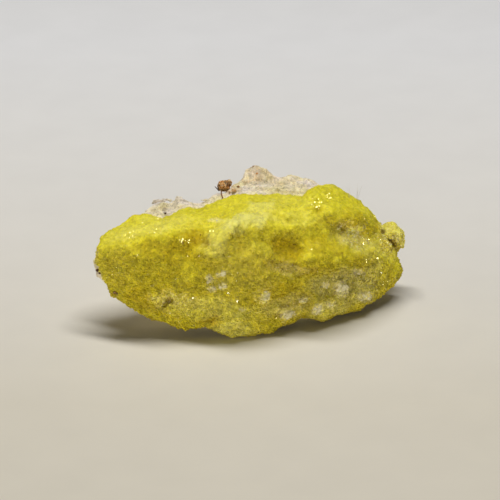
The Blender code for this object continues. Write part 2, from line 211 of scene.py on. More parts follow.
def cells(at, size):
    # 0 at the seams between grains of about this size, up to about 1 in their middles
    near, _ = noise.voronoi(at / size)
    return near[1] - near[0]


def grainy(at, relief, middle=0.3):
    # relief is a size and a depth; middle is about what cells averages, so the form keeps its size
    size, depth = relief
    return depth * (cells(at, size) - middle)


def lumpy(at, relief):
    size, depth = relief
    return depth * noise.fractal(at / size, 1.0, 2.1, 3, noise_basis="PERLIN_ORIGINAL")


def liftAlongNormals(mesh, lift):
    writePoints(mesh, readPoints(mesh) + readNormals(mesh) * (lift * mm)[:, None])


def keepAboveGround(mesh):
    points = readPoints(mesh)
    points[:, 2] = np.maximum(points[:, 2], 0.0)
    writePoints(mesh, points)


def standsProud(mesh, rounds):
    # how far each vertex stands out from its surroundings, in millimetres: below 0 in hollows
    points = readPoints(mesh)
    return ((points - smoothed(mesh, points, rounds)) * readNormals(mesh)).sum(axis=1) / mm


def storeProud(mesh, scales):
    # 1 on what stands out and 0 in hollows, from several pairs of smoothing rounds and weight
    proud = 0.5
    for rounds, weight in scales:
        proud = proud + weight * standsProud(mesh, rounds)
    storeValues(mesh, "proud", np.clip(proud, 0.0, 1.0))


def wander(places, *pushes):
    # the same places, pushed about by slow noises of a size and an amount: zones get ragged edges
    for size, amount in pushes:
        places = places + amount * np.array([noise.noise_vector(Vector(p) / size) for p in places])
    return places


def ramp(values, slope, start):
    return np.clip(values * slope + start, 0.0, 1.0)


def zone(places, spots, crispness=7.0):
    # strongest of several soft spots, each (across, up, half width, half height, turn, strength)
    strongest = np.zeros(len(places))
    for across, up, halfWidth, halfHeight, turn, strength in spots:
        cos, sin = math.cos(math.radians(turn)), math.sin(math.radians(turn))
        right, over = places[:, 0] - across, places[:, 1] - up
        along = (right * cos + over * sin) / halfWidth
        beside = (over * cos - right * sin) / halfHeight
        spot = strength / (1.0 + np.exp(crispness * (np.hypot(along, beside) - 1.0)))
        strongest = np.maximum(strongest, spot)
    return strongest


def addNode(tree, kind, inputs=None, **settings):
    # inputs maps a socket's name or number to a value or to another node's output
    made = tree.nodes.new(kind)
    for name, value in settings.items():
        setattr(made, name, value)
    for name, value in (inputs or {}).items():
        if isinstance(value, bpy.types.NodeSocket):
            tree.links.new(value, made.inputs[name])
        else:
            made.inputs[name].default_value = value
    return made


def mixColours(tree, factor, one, other, blend="MIX"):
    made = addNode(tree, "ShaderNodeMix", data_type="RGBA", blend_type=blend)
    for number, value in ((0, factor), (6, one), (7, other)):
        if isinstance(value, bpy.types.NodeSocket):
            tree.links.new(value, made.inputs[number])
        else:
            made.inputs[number].default_value = value if number == 0 else (*value, 1.0)
    return made.outputs[2]


def calculate(tree, operation, *values):
    return addNode(tree, "ShaderNodeMath", dict(enumerate(values)), operation=operation).outputs[0]


def reRange(tree, value, fromLow, fromHigh, toLow, toHigh):
    inputs = {0: value, 1: fromLow, 2: fromHigh, 3: toLow, 4: toHigh}
    return addNode(tree, "ShaderNodeMapRange", inputs).outputs[0]


def maskNamed(tree, name):
    return addNode(tree, "ShaderNodeAttribute", attribute_name=name).outputs["Fac"]


def objectPlace(tree):
    return addNode(tree, "ShaderNodeTexCoord").outputs["Object"]


def clouds(tree, place, scale, detail):
    # soft noise from 0 to 1, mostly near 0.5; scale is in cells per metre
    inputs = {"Vector": place, "Scale": scale, "Detail": detail}
    return addNode(tree, "ShaderNodeTexNoise", inputs).outputs["Fac"]


def tintWhere(tree, colour, tint, value, start, end, most):
    # more of the tint as the value goes from start to end, up to most
    return mixColours(tree, reRange(tree, value, start, end, 0.0, most), colour, tint)


def tintMasked(tree, colour, tint, mask, most):
    return mixColours(tree, calculate(tree, "MULTIPLY", maskNamed(tree, mask), most), colour, tint)


def paintShadeInHollows(tree, colour, tint, most, start=0.1, end=0.5):
    # painted shade: more of the tint where the surface lies in a hollow, up to most
    hollow = reRange(tree, maskNamed(tree, "proud"), start, end, most, 0.0)
    return mixColours(tree, hollow, colour, tint)


def brightened(tree, colour, amount):
    inputs = {"Value": amount, "Color": colour}
    return addNode(tree, "ShaderNodeHueSaturation", inputs).outputs[0]


def newGroup(name, inputs, outputs):
    # inputs and outputs are (name, socket type, default)
    group = bpy.data.node_groups.new(name, "ShaderNodeTree")
    for inOut, sockets in (("INPUT", inputs), ("OUTPUT", outputs)):
        for socketName, kind, default in sockets:
            made = group.interface.new_socket(name=socketName, in_out=inOut, socket_type=kind)
            if default is not None:
                made.default_value = default
    return group, group.nodes.new("NodeGroupInput"), group.nodes.new("NodeGroupOutput")


def placeGroup(tree, group, inputs):
    made = addNode(tree, "ShaderNodeGroup", node_tree=group)
    for name, value in inputs.items():
        if isinstance(value, bpy.types.NodeSocket):
            tree.links.new(value, made.inputs[name])
        else:
            made.inputs[name].default_value = value
    return made


sugar = {
    "cloudSize": 0.35,  # clouds per grain
    "grainShare": 0.55,
    "darkest": 0.35,  # where the blend of grains and clouds is as dark, or as bright, as it gets
    "brightest": 1.15,
}


def sugarGroup():
    # fine lighter and darker grains over a colour, and the height of the same grains
    group, given, gives = newGroup(
        "sugaryGrain",
        (
            ("Colour", "NodeSocketColor", (0.5, 0.5, 0.5, 1.0)),
            ("Grain Size", "NodeSocketFloat", 0.6),
            ("Contrast", "NodeSocketFloat", 0.3),
        ),
        (("Colour", "NodeSocketColor", None), ("Height", "NodeSocketFloat", None)),
    )
    place = objectPlace(group)
    scale = calculate(group, "DIVIDE", 1.0 / mm, given.outputs["Grain Size"])
    grains = addNode(
        group, "ShaderNodeTexVoronoi", {"Vector": place, "Scale": scale, "Randomness": 1.0}
    )
    cloudy = clouds(group, place, calculate(group, "MULTIPLY", scale, sugar["cloudSize"]), 4.0)
    perGrain = addNode(group, "ShaderNodeSeparateColor", {0: grains.outputs["Color"]}).outputs[0]
    perGrain = calculate(group, "MULTIPLY", perGrain, sugar["grainShare"])
    blended = calculate(group, "ADD", perGrain, cloudy)
    shade = reRange(group, blended, sugar["darkest"], sugar["brightest"], -1.0, 1.0)
    scaled = calculate(group, "MULTIPLY", shade, given.outputs["Contrast"])
    tinted = brightened(group, given.outputs["Colour"], calculate(group, "ADD", scaled, 1.0))
    group.links.new(tinted, gives.inputs["Colour"])
    height = calculate(group, "SUBTRACT", 1.0, grains.outputs["Distance"])
    group.links.new(height, gives.inputs["Height"])
    return group


sugaryGrain = sugarGroup()
print("shared shader group made")


def newMaterial(name):
    made = bpy.data.materials.new(name)
    made.use_nodes = True
    return made, made.node_tree, made.node_tree.nodes["Principled BSDF"]


def setShader(shader, values):
    # plain values that are the same all over
    for name, value in values.items():
        shader.inputs[name].default_value = value


def addScattering(shader, weight, radius, scale):
    shader.inputs["Subsurface Weight"].default_value = weight
    shader.inputs["Subsurface Radius"].default_value = radius
    shader.inputs["Subsurface Scale"].default_value = scale * mm


def addBump(tree, shader, height, relief):
    # relief is a strength, and a distance in millimetres
    strength, distance = relief
    inputs = {"Height": height, "Strength": strength, "Distance": distance * mm}
    bump = addNode(tree, "ShaderNodeBump", inputs)
    tree.links.new(bump.outputs[0], shader.inputs["Normal"])


sulfur = {
    "voxel": 0.37,  # of the even skin
    "softening": 12,  # rounds that round off the solid's facets
    "extraSoftening": 70,
    "lumps": (4.5, 0.5),  # size and depth of each relief, coarse to fine
    "knots": (2.2, 0.5),
    "grains": (1.0, 0.26),
    "sugar": (0.62, 0.24),
    "columns": (0.75, 0.5),  # steep columns in the grey-white part
    "columnStretch": 5.0,
    "columnLean": (0.43, 0.9),  # they run this way in across and up
    "ragged": ((3.5, 1.8), (1.1, 0.9)),  # size and amount of what frays the zones' edges
    "barelyRagged": (0.9, 0.5),
    "smallCrispness": 12.0,
    "proud": ((60, 0.28), (6, 0.5)),
    "bareGap": 0.9,  # no grains this near to the rock
    "bareFoot": 0.9,  # or this near to the table
    "thinned": 0.75,  # share of the grains left out on smooth tops
    "growth": (0.8, -0.9, -0.4),  # of the grains in their large zones, on tops and on pale skin
    "yellow": (0.59, 0.505, 0.031),
    "brightYellow": (0.745, 0.68, 0.042),
    "paleYellow": (0.795, 0.755, 0.205),
    "olive": (0.62, 0.47, 0.010),
    "gold": (0.52, 0.385, 0.009),
    "tan": (0.97, 0.82, 0.19),
    "greyWhite": (0.58, 0.52, 0.17),
    "white": (0.95, 0.87, 0.50),
    "mottle": (0.42, 0.335, 0.012),
    # painted shade on faces turned down
    "paintedUndersideShade": (0.30, 0.225, 0.012),
    "brown": (0.18, 0.10, 0.015),
    "zoneTints": (  # zone, tint, strength
        ("gold", "gold", 0.8),
        ("greyWhite", "greyWhite", 0.85),
        ("tan", "tan", 0.9),
        ("pale", "paleYellow", 0.9),
        ("blebs", "white", 0.65),
        # real brown stains, and painted shade in the pit, the crack and the crevice
        ("stain", "brown", 0.85),
        # painted shade on faces turned down
        ("under", "paintedUndersideShade", 0.8),
    ),
    "clouds": ((280.0, 3.0, 0.4), (2200.0, 2.0, 0.6)),  # scale, detail and share
    "blotched": (0.75, 0.32),  # strength of the dark blotches on steep faces and on tops
    "lightened": 0.35,
    # strength of the painted shade, olive, in the hollows
    "hollows": 0.35,
    "rareDark": 0.8,
    "lightGrains": 0.65,
    "grainSize": 0.7,
    "contrast": (0.36, 0.20),  # on steep faces and on tops
    "grainShades": (0.90, 1.12),
    "roughness": (0.6, 0.42),  # in hollows and on what stands out
    "shader": {
        "Coat Roughness": 0.08,
        "Coat IOR": 1.8,
        "IOR": 1.4,
        "Specular IOR Level": 0.15,
    },
    "subsurface": (0.8, (1.0, 0.95, 0.12)),
    "skinScatters": 0.8,
    "grainScatters": 0.1,  # light hardly spreads inside one grain
    "bump": (0.25, 0.10),
}
sulfurZones = {
    "pale": (
        (-1.0, 11.4, 7.5, 2.3, 8.0, 1.0),  # ridge over the middle
        (-9.3, 5.6, 3.2, 5.0, -35.0, 0.5),
        (12.0, 12.4, 8.0, 1.9, 0.0, 0.2),
        (11.0, 17.0, 8.0, 2.2, 0.0, 0.15),
        (3.4, 15.4, 4.4, 1.7, 0.0, 0.65),  # block above the ridge
        (-29.0, 9.5, 12.0, 2.2, 12.0, 0.35),
        (-4.5, -19.5, 6.5, 2.4, 0.0, 0.65),  # foot, paler: partly a pale ridge, partly painted light bounced up from the floor
        (-20.0, -12.5, 9.0, 2.6, -12.0, 0.35),
        (-8.0, -13.5, 9.0, 3.4, -8.0, 0.45),  # lighter low middle
        (30.0, 6.0, 6.5, 3.0, -28.0, 0.45),
        (35.5, 2.5, 3.5, 2.6, 0.0, 0.3),
        (42.0, 8.5, 4.0, 3.0, 0.0, 0.5),
        (21.0, -14.8, 6.0, 1.8, 15.0, 0.4),
    ),
    "gold": (
        (-15.1, 6.3, 4.6, 2.6, -10.0, 0.95),  # valley
        (-21.4, 3.0, 10.0, 3.2, 0.0, 0.5),
        (-28.6, -11.4, 6.5, 2.2, -20.0, 0.6),
        (10.6, 2.9, 4.6, 3.8, 0.0, 0.85),  # hollow beside the block
        (9.4, -0.8, 5.0, 2.2, 0.0, 0.8),
        (15.5, -2.6, 4.0, 1.2, -6.0, 0.7),
        (-1.4, -1.0, 6.5, 5.5, 0.0, 0.4),
        (11.0, -9.5, 6.5, 3.4, 0.0, 0.45),
        (29.4, 13.0, 3.2, 2.0, -30.0, 0.5),
        (-11.0, -16.9, 2.6, 1.5, 0.0, 0.8),
        (40.5, -5.6, 3.2, 2.2, 0.0, 0.2),
        (-1.5, 2.0, 5.0, 2.6, 0.0, 0.35),
        (38.8, 7.0, 1.8, 3.6, 28.0, 0.5),
        (20.5, 4.4, 7.5, 2.6, -5.0, 0.6),  # over the block
        (31.0, 2.8, 6.0, 1.8, -14.0, 0.3),
    ),
    "tan": (
        (30.0, 7.4, 5.4, 2.6, -28.0, 1.0),  # granular hollow under the tall lobe
        (41.2, 7.0, 4.4, 4.6, 0.0, 0.55),  # knob
        (11.0, -1.6, 5.6, 1.8, -8.0, 0.2),
        (4.2, -9.6, 2.6, 2.6, 0.0, 0.35),
        (-20.0, -10.5, 6.0, 2.0, -10.0, 0.4),
        (-26.0, -10.2, 3.6, 1.2, -14.0, 0.6),
        (10.5, -14.0, 4.0, 2.2, 10.0, 0.3),
        (21.8, -12.0, 3.0, 1.8, 10.0, 0.3),
    ),
    "greyWhite": (
        (27.0, -6.4, 10.5, 3.8, 8.0, 0.9),
        (35.0, -3.0, 4.4, 2.2, 20.0, 0.6),
        (25.0, -11.5, 9.0, 2.6, 8.0, 0.6),
        (11.0, -1.8, 5.0, 1.8, -8.0, 0.6),
        (10.0, -12.2, 7.5, 2.6, 12.0, 0.6),
        (-1.0, -1.5, 9.0, 8.0, 0.0, 0.2),
        (-38.0, -1.0, 5.0, 8.0, 0.0, 0.12),
        (-9.5, -5.5, 3.6, 3.0, 0.0, 0.3),
        (-44.5, 0.0, 1.6, 6.0, 0.0, 0.6),
    ),
    # real brown stains, and painted shade in the pit, the crack and the crevice beside the knob
    "stain": (
        (-23.5, -11.4, 1.9, 0.7, 12.0, 0.65),  # small pit, painted shade
        (-11.2, -17.2, 1.2, 0.7, 0.0, 0.4),
        (-28.8, -16.6, 1.1, 0.8, 0.0, 0.5),
        (-38.6, -8.9, 1.0, 0.5, -25.0, 0.5),
        (-44.2, -3.1, 0.9, 1.6, 25.0, 0.8),
        (26.3, 9.9, 1.7, 0.4, -4.0, 0.6),  # crack, painted shade
        (41.6, 5.1, 1.9, 0.8, -48.0, 1.0),  # painted shade in the crevice beside the knob
        (38.5, 8.6, 0.8, 0.7, 0.0, 0.8),
        (41.8, 7.2, 1.3, 0.8, -40.0, 0.35),
        (12.2, 3.6, 1.4, 0.7, -8.0, 0.25),
        (9.2, 0.2, 1.6, 0.8, 0.0, 0.2),
        (-14.6, 5.4, 2.0, 1.0, -15.0, 0.15),
        (24.8, 2.2, 1.6, 0.5, 10.0, 0.4),
        (8.3, -15.1, 1.5, 0.7, 10.0, 0.45),  # between the whitish patches
        (9.7, -12.6, 1.8, 0.7, 25.0, 0.45),
        (13.1, -11.9, 0.9, 0.7, 0.0, 0.4),
        (23.6, -9.4, 0.6, 1.8, -30.0, 0.35),
        (28.8, -9.0, 0.5, 1.6, -25.0, 0.3),
        (-19.6, -6.4, 1.6, 1.0, 0.0, 0.3),
    ),
    "columned": (
        (28.0, -6.5, 9.0, 3.6, 5.0, 1.0),
        (36.5, -3.0, 4.0, 3.0, 20.0, 0.8),
        (22.0, -11.5, 6.0, 2.6, 10.0, 0.5),
    ),
    "blebs": (  # soft whitish patches
        (26.0, -7.7, 2.1, 2.3, 25.0, 0.85),
        (21.6, -6.6, 1.1, 0.9, -10.0, 0.9),
        (19.3, -13.5, 1.3, 1.9, -35.0, 0.8),
        (22.8, -12.3, 1.3, 0.9, 0.0, 0.6),
        (32.8, -9.9, 2.3, 1.4, 10.0, 0.7),
        (31.2, -3.0, 2.0, 0.9, -12.0, 0.6),
        (15.1, -10.9, 1.4, 0.7, 5.0, 0.8),
        (10.8, -14.9, 2.2, 1.2, 12.0, 0.9),
        (4.4, -9.9, 1.1, 1.7, -35.0, 0.9),
        (-8.1, -3.4, 1.5, 0.9, 15.0, 0.85),
        (-11.5, -4.7, 1.1, 1.1, 15.0, 0.85),
        (-7.6, -6.7, 1.2, 0.9, 10.0, 0.85),
        (-10.6, -7.5, 1.2, 0.8, 0.0, 0.75),
        (-2.3, -13.6, 1.2, 0.7, 15.0, 0.5),
        (-9.9, 11.8, 1.9, 0.7, 0.0, 0.5),
    ),
}
grownLarge = (  # where the grains grow larger
    (20.0, 17.0, 3.6, 3.0, 0.0, 0.8),
    (-18.0, 6.2, 4.0, 2.2, 0.0, 0.5),
    (30.5, 6.6, 6.0, 2.8, -25.0, 1.0),
    (41.0, 6.5, 4.0, 4.5, 0.0, 0.8),
    (-3.0, -15.0, 9.0, 5.0, 0.0, 0.7),
    (-22.0, -11.0, 8.0, 3.5, -15.0, 0.6),
    (36.0, 0.5, 4.0, 2.0, 10.0, 0.5),
    (8.0, -8.0, 8.0, 4.5, 0.0, 0.5),
    (28.0, -10.0, 10.0, 4.0, 10.0, 0.5),
)
sulfurForms = {  # millimetres of lift, each over soft spots
    "rounded": (  # where the form is softer still
        (-33.0, 7.6, 13.0, 3.6, 4.0, 1.0),
        (-16.0, 8.8, 9.0, 3.0, 10.0, 0.9),
        (2.0, 8.6, 12.0, 2.6, 0.0, 0.8),
        (18.0, 9.4, 8.0, 2.4, 0.0, 0.5),
        (-12.0, -12.0, 12.0, 5.0, 0.0, 0.6),
    ),
    "raised": (
        (21.0, 1.2, 6.2, 3.4, -6.0, 0.6),  # block
        (31.0, 1.8, 6.5, 2.0, -14.0, 0.25),
        (39.4, 6.6, 3.0, 0.7, -50.0, 0.6),  # edge in front of the knob
        (3.4, 15.4, 4.2, 1.6, 0.0, 0.6),
        (-1.0, 11.6, 7.5, 2.0, 8.0, 0.7),  # ridge
        (-9.0, 6.4, 2.6, 4.4, -35.0, 0.6),
        (20.5, 12.4, 4.6, 2.0, 0.0, 0.4),
        (25.8, -7.4, 2.2, 2.6, 20.0, 0.7),
        (19.0, -13.0, 1.8, 2.4, -30.0, 0.6),
        (33.0, -9.6, 2.4, 1.8, 10.0, 0.4),
        (-20.0, -13.5, 7.0, 2.4, -14.0, 0.4),
        (-14.0, -8.5, 3.6, 2.4, 10.0, 0.4),
    ),
    "sunk": (
        (-15.1, 6.0, 4.4, 1.8, -10.0, 0.3),  # valley
        (10.4, 3.4, 3.8, 3.4, 0.0, 0.6),
        (9.0, -1.0, 4.4, 1.6, 0.0, 0.5),
        (26.8, 9.9, 2.2, 0.5, -4.0, 0.8),  # crack
        (31.5, 8.2, 3.6, 0.6, -32.0, 0.1),
        (41.5, 5.2, 2.1, 0.8, -48.0, 1.5),  # crevice beside the knob
        (38.6, 8.0, 0.9, 1.2, 30.0, 0.7),
        (23.0, -2.8, 6.4, 0.9, -6.0, 0.7),  # shadowed line under the block
        (33.0, -0.6, 5.0, 0.8, 4.0, 0.6),
        (-23.6, -11.5, 2.0, 0.9, 12.0, 1.5),
        (-29.0, -11.0, 5.0, 1.2, -20.0, 0.4),
        (-11.4, -17.6, 2.0, 1.2, 0.0, 0.6),
        (22.8, -9.2, 1.0, 3.0, -30.0, 0.6),
        (29.4, -6.0, 0.8, 3.4, -28.0, 0.6),
        (6.0, -7.0, 4.0, 1.2, 10.0, 0.4),
    ),
}


def sulfurLift(at):
    lift = lumpy(at, sulfur["lumps"])
    for relief in ("knots", "grains", "sugar"):
        lift += grainy(at, sulfur[relief])
    return lift


def columnLift(at):
    # ridges that run up and to the right
    size, depth = sulfur["columns"]
    across, up = sulfur["columnLean"]
    along = (at.x * across + at.y * up) / sulfur["columnStretch"]
    return depth * noise.noise(Vector((at.x * up - at.y * across, along, at.z)) / size)


def dressSulfur(mesh, places):
    ragged = wander(places, *sulfur["ragged"])
    barely = wander(places, sulfur["barelyRagged"])
    for name, spots in sulfurZones.items():
        if name in ("blebs", "stain"):
            storeValues(mesh, name, zone(barely, spots, sulfur["smallCrispness"]))
        else:
            storeValues(mesh, name, zone(ragged, spots))


def makeSulfurBody():
    body = evenSkin("sulfurBody", "sulfur_mass", sulfur["voxel"])
    mesh = body.data
    points = smoothed(mesh, readPoints(mesh), sulfur["softening"])
    softer = zone(onFace(points), sulfurForms["rounded"])[:, None]
    points += softer * (smoothed(mesh, points, sulfur["extraSoftening"]) - points)
    writePoints(mesh, points)
    places = onFace(points)
    ragged = wander(places, *sulfur["ragged"])
    lift = np.array([sulfurLift(Vector(p)) for p in places])
    lift += zone(ragged, sulfurForms["raised"]) - zone(ragged, sulfurForms["sunk"])
    columned = zone(ragged, sulfurZones["columned"])
    lift += columned * np.array([columnLift(Vector(p)) for p in places])
    liftAlongNormals(mesh, lift)
    keepAboveGround(mesh)
    dressSulfur(mesh, places)
    storeProud(mesh, sulfur["proud"])
    normals = readNormals(mesh)
    facing = (normals @ np.array(worldToFace)[:3, :3].T * mm)[:, 2]
    solidRock = treeOf(frame["nodes"]["host_rock"])
    gap = np.array([solidRock.find_nearest(v.co)[3] / mm for v in mesh.vertices])
    shows = np.clip((facing + 0.6) * 3.0, 0.0, 1.0) * ramp(gap - sulfur["bareGap"], 2.0, 0.0)
    shows *= readPoints(mesh)[:, 2] > sulfur["bareFoot"] * mm
    slope = smoothed(mesh, normals[:, 2], 10)[:, 0]
    upward = ramp(slope, 1.6, -0.1)
    smooth = ramp(upward, 2.0, -0.6) * (1.0 - zone(ragged, sulfurZones["tan"]))
    storeValues(mesh, "shows", shows * (1.0 - sulfur["thinned"] * smooth))
    storeValues(mesh, "upward", upward)
    # 1 on faces turned down, where painted shade darkens the sulfur
    storeValues(mesh, "under", ramp(slope, -2.0, -0.6))
    inLarge, onTop, onPale = sulfur["growth"]
    growth = inLarge * zone(ragged, grownLarge) + onTop * upward
    storeValues(mesh, "growth", growth + onPale * zone(ragged, sulfurZones["pale"]))
    return body


def sulfurMaterial(name, scattering):
    made, tree, shader = newMaterial(name)
    proud = maskNamed(tree, "proud")
    upward = maskNamed(tree, "upward")
    own = maskNamed(tree, "grainShade")
    place = objectPlace(tree)
    coarse, fine = sulfur["clouds"]
    patchy = calculate(tree, "MULTIPLY", clouds(tree, place, *fine[:2]), fine[2])
    patchy = calculate(
        tree, "MULTIPLY_ADD", clouds(tree, place, *coarse[:2]), coarse[2], patchy
    )
    # lighter yellow on faces turned up, more olive on steep ones: partly the sulfur's own tone,
    # partly painted light from above
    colour = mixColours(tree, upward, sulfur["yellow"], sulfur["brightYellow"])
    darkest = reRange(tree, upward, 0.15, 0.9, *sulfur["blotched"])
    blotches = reRange(tree, patchy, 0.50, 0.62, 0.0, 1.0)
    blotches = calculate(tree, "MULTIPLY", blotches, darkest)
    colour = mixColours(tree, blotches, colour, sulfur["mottle"])
    bright = sulfur["brightYellow"]
    colour = tintWhere(tree, colour, bright, patchy, 0.49, 0.38, sulfur["lightened"])
    # painted shade: olive in the hollows
    colour = paintShadeInHollows(tree, colour, sulfur["olive"], sulfur["hollows"])
    for mask, tint, most in sulfur["zoneTints"]:
        colour = tintMasked(tree, colour, sulfur[tint], mask, most)
    for mask, tint, start, end, most in (
        ("gold", "brown", 0.09, 0.08, sulfur["rareDark"]),
        ("tan", "white", 0.70, 0.74, sulfur["lightGrains"]),
    ):
        # a few grains of another colour
        few = reRange(tree, own, start, end, 0.0, most)
        few = calculate(tree, "MULTIPLY", few, maskNamed(tree, mask))
        colour = mixColours(tree, few, colour, sulfur[tint])
    contrast = reRange(tree, upward, 0.2, 0.9, *sulfur["contrast"])
    values = {"Colour": colour, "Grain Size": sulfur["grainSize"], "Contrast": contrast}
    grain = placeGroup(tree, sugaryGrain, values)
    shade = reRange(tree, own, 0.0, 1.0, *sulfur["grainShades"])
    tinted = brightened(tree, grain.outputs["Colour"], shade)
    tree.links.new(tinted, shader.inputs["Base Color"])
    glint = reRange(tree, own, 0.90, 0.91, 0.0, 1.0)  # one grain in ten
    tree.links.new(glint, shader.inputs["Coat Weight"])
    roughness = reRange(tree, proud, 0.2, 0.8, *sulfur["roughness"])
    tree.links.new(roughness, shader.inputs["Roughness"])
    setShader(shader, sulfur["shader"])
    addScattering(shader, *sulfur["subsurface"], scattering)
    addBump(tree, shader, grain.outputs["Height"], sulfur["bump"])
    return made


sulfurBody = makeSulfurBody()
sulfurSkin = sulfurMaterial("sulfurCrystalMass", sulfur["skinScatters"])
sulfurGrain = sulfurMaterial("sulfurSingleCrystals", sulfur["grainScatters"])
print("sulfur body:", len(sulfurBody.data.polygons), "faces")


def evenlyAround(count):
    # points spread evenly over a ball of radius 1
    height = 1.0 - 2.0 * (np.arange(count) + 0.5) / count
    turn = np.arange(count) * math.pi * (3.0 - math.sqrt(5.0))
    wide = np.sqrt(1.0 - height**2)
    return np.column_stack([wide * np.cos(turn), wide * np.sin(turn), height])


grown = {
    "kinds": 9,  # every third one is a double pyramid
    "height": 1.2,  # of the pyramids, beside a width of 1
    "depth": 0.85,
    "pointedWobble": 0.04,
    "roundCorners": 9,
    "roundWobble": 0.22,
    "halfTurn": 3.1416,
    "smallness": 2.2,  # a higher power gives more small grains for each large one
    "sizeSeed": 7.0,
    "shadeSeed": 3,
    "densest": 2.0e7,  # per square metre, before the spacing thins them
}


def grainShapes(count, seed):
    # small closed crystals about 1 unit across: double pyramids, and rounder grains shaded smooth
    rng = np.random.default_rng(seed)
    shapes = bpy.data.collections.new("grainShapes")
    high, deep = grown["height"], grown["depth"]
    pyramid = [(0, 0, high), (0, 0, -high), (1, 0, 0), (-1, 0, 0), (0, deep, 0), (0, -deep, 0)]
    wobble, roundWobble, many = grown["pointedWobble"], grown["roundWobble"], grown["roundCorners"]
    for number in range(count):
        pointed = number % 3 == 0
        if pointed:
            corners = 0.5 * np.array(pyramid) + rng.uniform(-wobble, wobble, (6, 3))
        else:
            moved = rng.uniform(-roundWobble, roundWobble, (many, 3))
            corners = 0.5 * (evenlyAround(many) + moved)
        mesh = hullMesh("grain", corners)
        isSmooth = not pointed and number % 2 == 0
        mesh.polygons.foreach_set("use_smooth", [isSmooth] * len(mesh.polygons))
        shapes.objects.link(bpy.data.objects.new(f"grainShape{number}", mesh))
    return shapes


def isSo(tree, value, comparison, limit):
    inputs = {0: value, 1: limit}
    return addNode(tree, "FunctionNodeCompare", inputs, operation=comparison).outputs[0]


def grainTree():
    tree = bpy.data.node_groups.new("grownGrains", "GeometryNodeTree")
    for name, kind in (
        ("Geometry", "NodeSocketGeometry"),
        ("Shapes", "NodeSocketCollection"),
        ("Material", "NodeSocketMaterial"),
        ("Spacing", "NodeSocketFloat"),
        ("Smallest", "NodeSocketFloat"),
        ("Largest", "NodeSocketFloat"),
        ("Extra Growth", "NodeSocketFloat"),
        ("Tilt", "NodeSocketFloat"),
        ("Mask", "NodeSocketString"),
        ("Lowest Across", "NodeSocketFloat"),
        ("Highest Across", "NodeSocketFloat"),
        ("Seed", "NodeSocketInt"),
    ):
        tree.interface.new_socket(name=name, in_out="INPUT", socket_type=kind)
    tree.interface.new_socket(name="Geometry", in_out="OUTPUT", socket_type="NodeSocketGeometry")
    given = tree.nodes.new("NodeGroupInput").outputs
    gives = tree.nodes.new("NodeGroupOutput").inputs
    mask = addNode(tree, "GeometryNodeInputNamedAttribute", {"Name": given["Mask"]}).outputs[0]
    points = addNode(
        tree,
        "GeometryNodeDistributePointsOnFaces",
        {
            "Mesh": given["Geometry"],
            "Distance Min": given["Spacing"],
            "Density Max": grown["densest"],
            "Density Factor": mask,
            "Seed": given["Seed"],
        },
        distribute_method="POISSON",
    )
    place = addNode(tree, "GeometryNodeInputPosition").outputs[0]
    across = addNode(tree, "ShaderNodeSeparateXYZ", {0: place}).outputs[0]
    pastLowest = isSo(tree, across, "GREATER_EQUAL", given["Lowest Across"])
    beforeHighest = isSo(tree, across, "LESS_THAN", given["Highest Across"])
    inStretch = addNode(
        tree, "FunctionNodeBooleanMath", {0: pastLowest, 1: beforeHighest}, operation="AND"
    )
    tilt, halfTurn = given["Tilt"], grown["halfTurn"]
    back = calculate(tree, "MULTIPLY", tilt, -1.0)
    low = addNode(tree, "ShaderNodeCombineXYZ", {0: back, 1: back, 2: -halfTurn})
    high = addNode(tree, "ShaderNodeCombineXYZ", {0: tilt, 1: tilt, 2: halfTurn})
    turns = addNode(
        tree,
        "FunctionNodeRandomValue",
        {0: low.outputs[0], 1: high.outputs[0], "Seed": given["Seed"]},
        data_type="FLOAT_VECTOR",
    )
    asRotation = addNode(tree, "FunctionNodeEulerToRotation", {0: turns.outputs[0]})
    turned = addNode(
        tree,
        "FunctionNodeRotateRotation",
        {0: points.outputs["Rotation"], 1: asRotation.outputs[0]},
        rotation_space="LOCAL",
    )
    seed = calculate(tree, "ADD", given["Seed"], grown["sizeSeed"])
    chance = addNode(tree, "FunctionNodeRandomValue", {"Seed": seed}, data_type="FLOAT")
    mostlySmall = calculate(tree, "POWER", chance.outputs[1], grown["smallness"])
    sizes = reRange(tree, mostlySmall, 0.0, 1.0, given["Smallest"], given["Largest"])
    growth = addNode(tree, "GeometryNodeInputNamedAttribute", {"Name": "growth"}).outputs[0]
    extra = calculate(tree, "MULTIPLY_ADD", growth, given["Extra Growth"], 1.0)
    shapes = addNode(
        tree,
        "GeometryNodeCollectionInfo",
        {"Collection": given["Shapes"], "Separate Children": True, "Reset Children": True},
    )
    placed = addNode(
        tree,
        "GeometryNodeInstanceOnPoints",
        {
            "Points": points.outputs["Points"],
            "Selection": inStretch.outputs[0],
            "Instance": shapes.outputs[0],
            "Pick Instance": True,
            "Rotation": turned.outputs[0],
            "Scale": calculate(tree, "MULTIPLY", sizes, extra),
        },
    )
    shade = addNode(
        tree, "FunctionNodeRandomValue", {"Seed": grown["shadeSeed"]}, data_type="FLOAT"
    )
    marked = addNode(
        tree,
        "GeometryNodeStoreNamedAttribute",
        {"Geometry": placed.outputs[0], "Name": "grainShade", "Value": shade.outputs[1]},
        domain="INSTANCE",
        data_type="FLOAT",
    )
    real = addNode(tree, "GeometryNodeRealizeInstances", {0: marked.outputs[0]})
    finish = {"Geometry": real.outputs[0], "Material": given["Material"]}
    dressed = addNode(tree, "GeometryNodeSetMaterial", finish)
    tree.links.new(dressed.outputs[0], gives[0])
    return tree


grownGrains = grainTree()
grainKinds = grainShapes(grown["kinds"], seed=5)


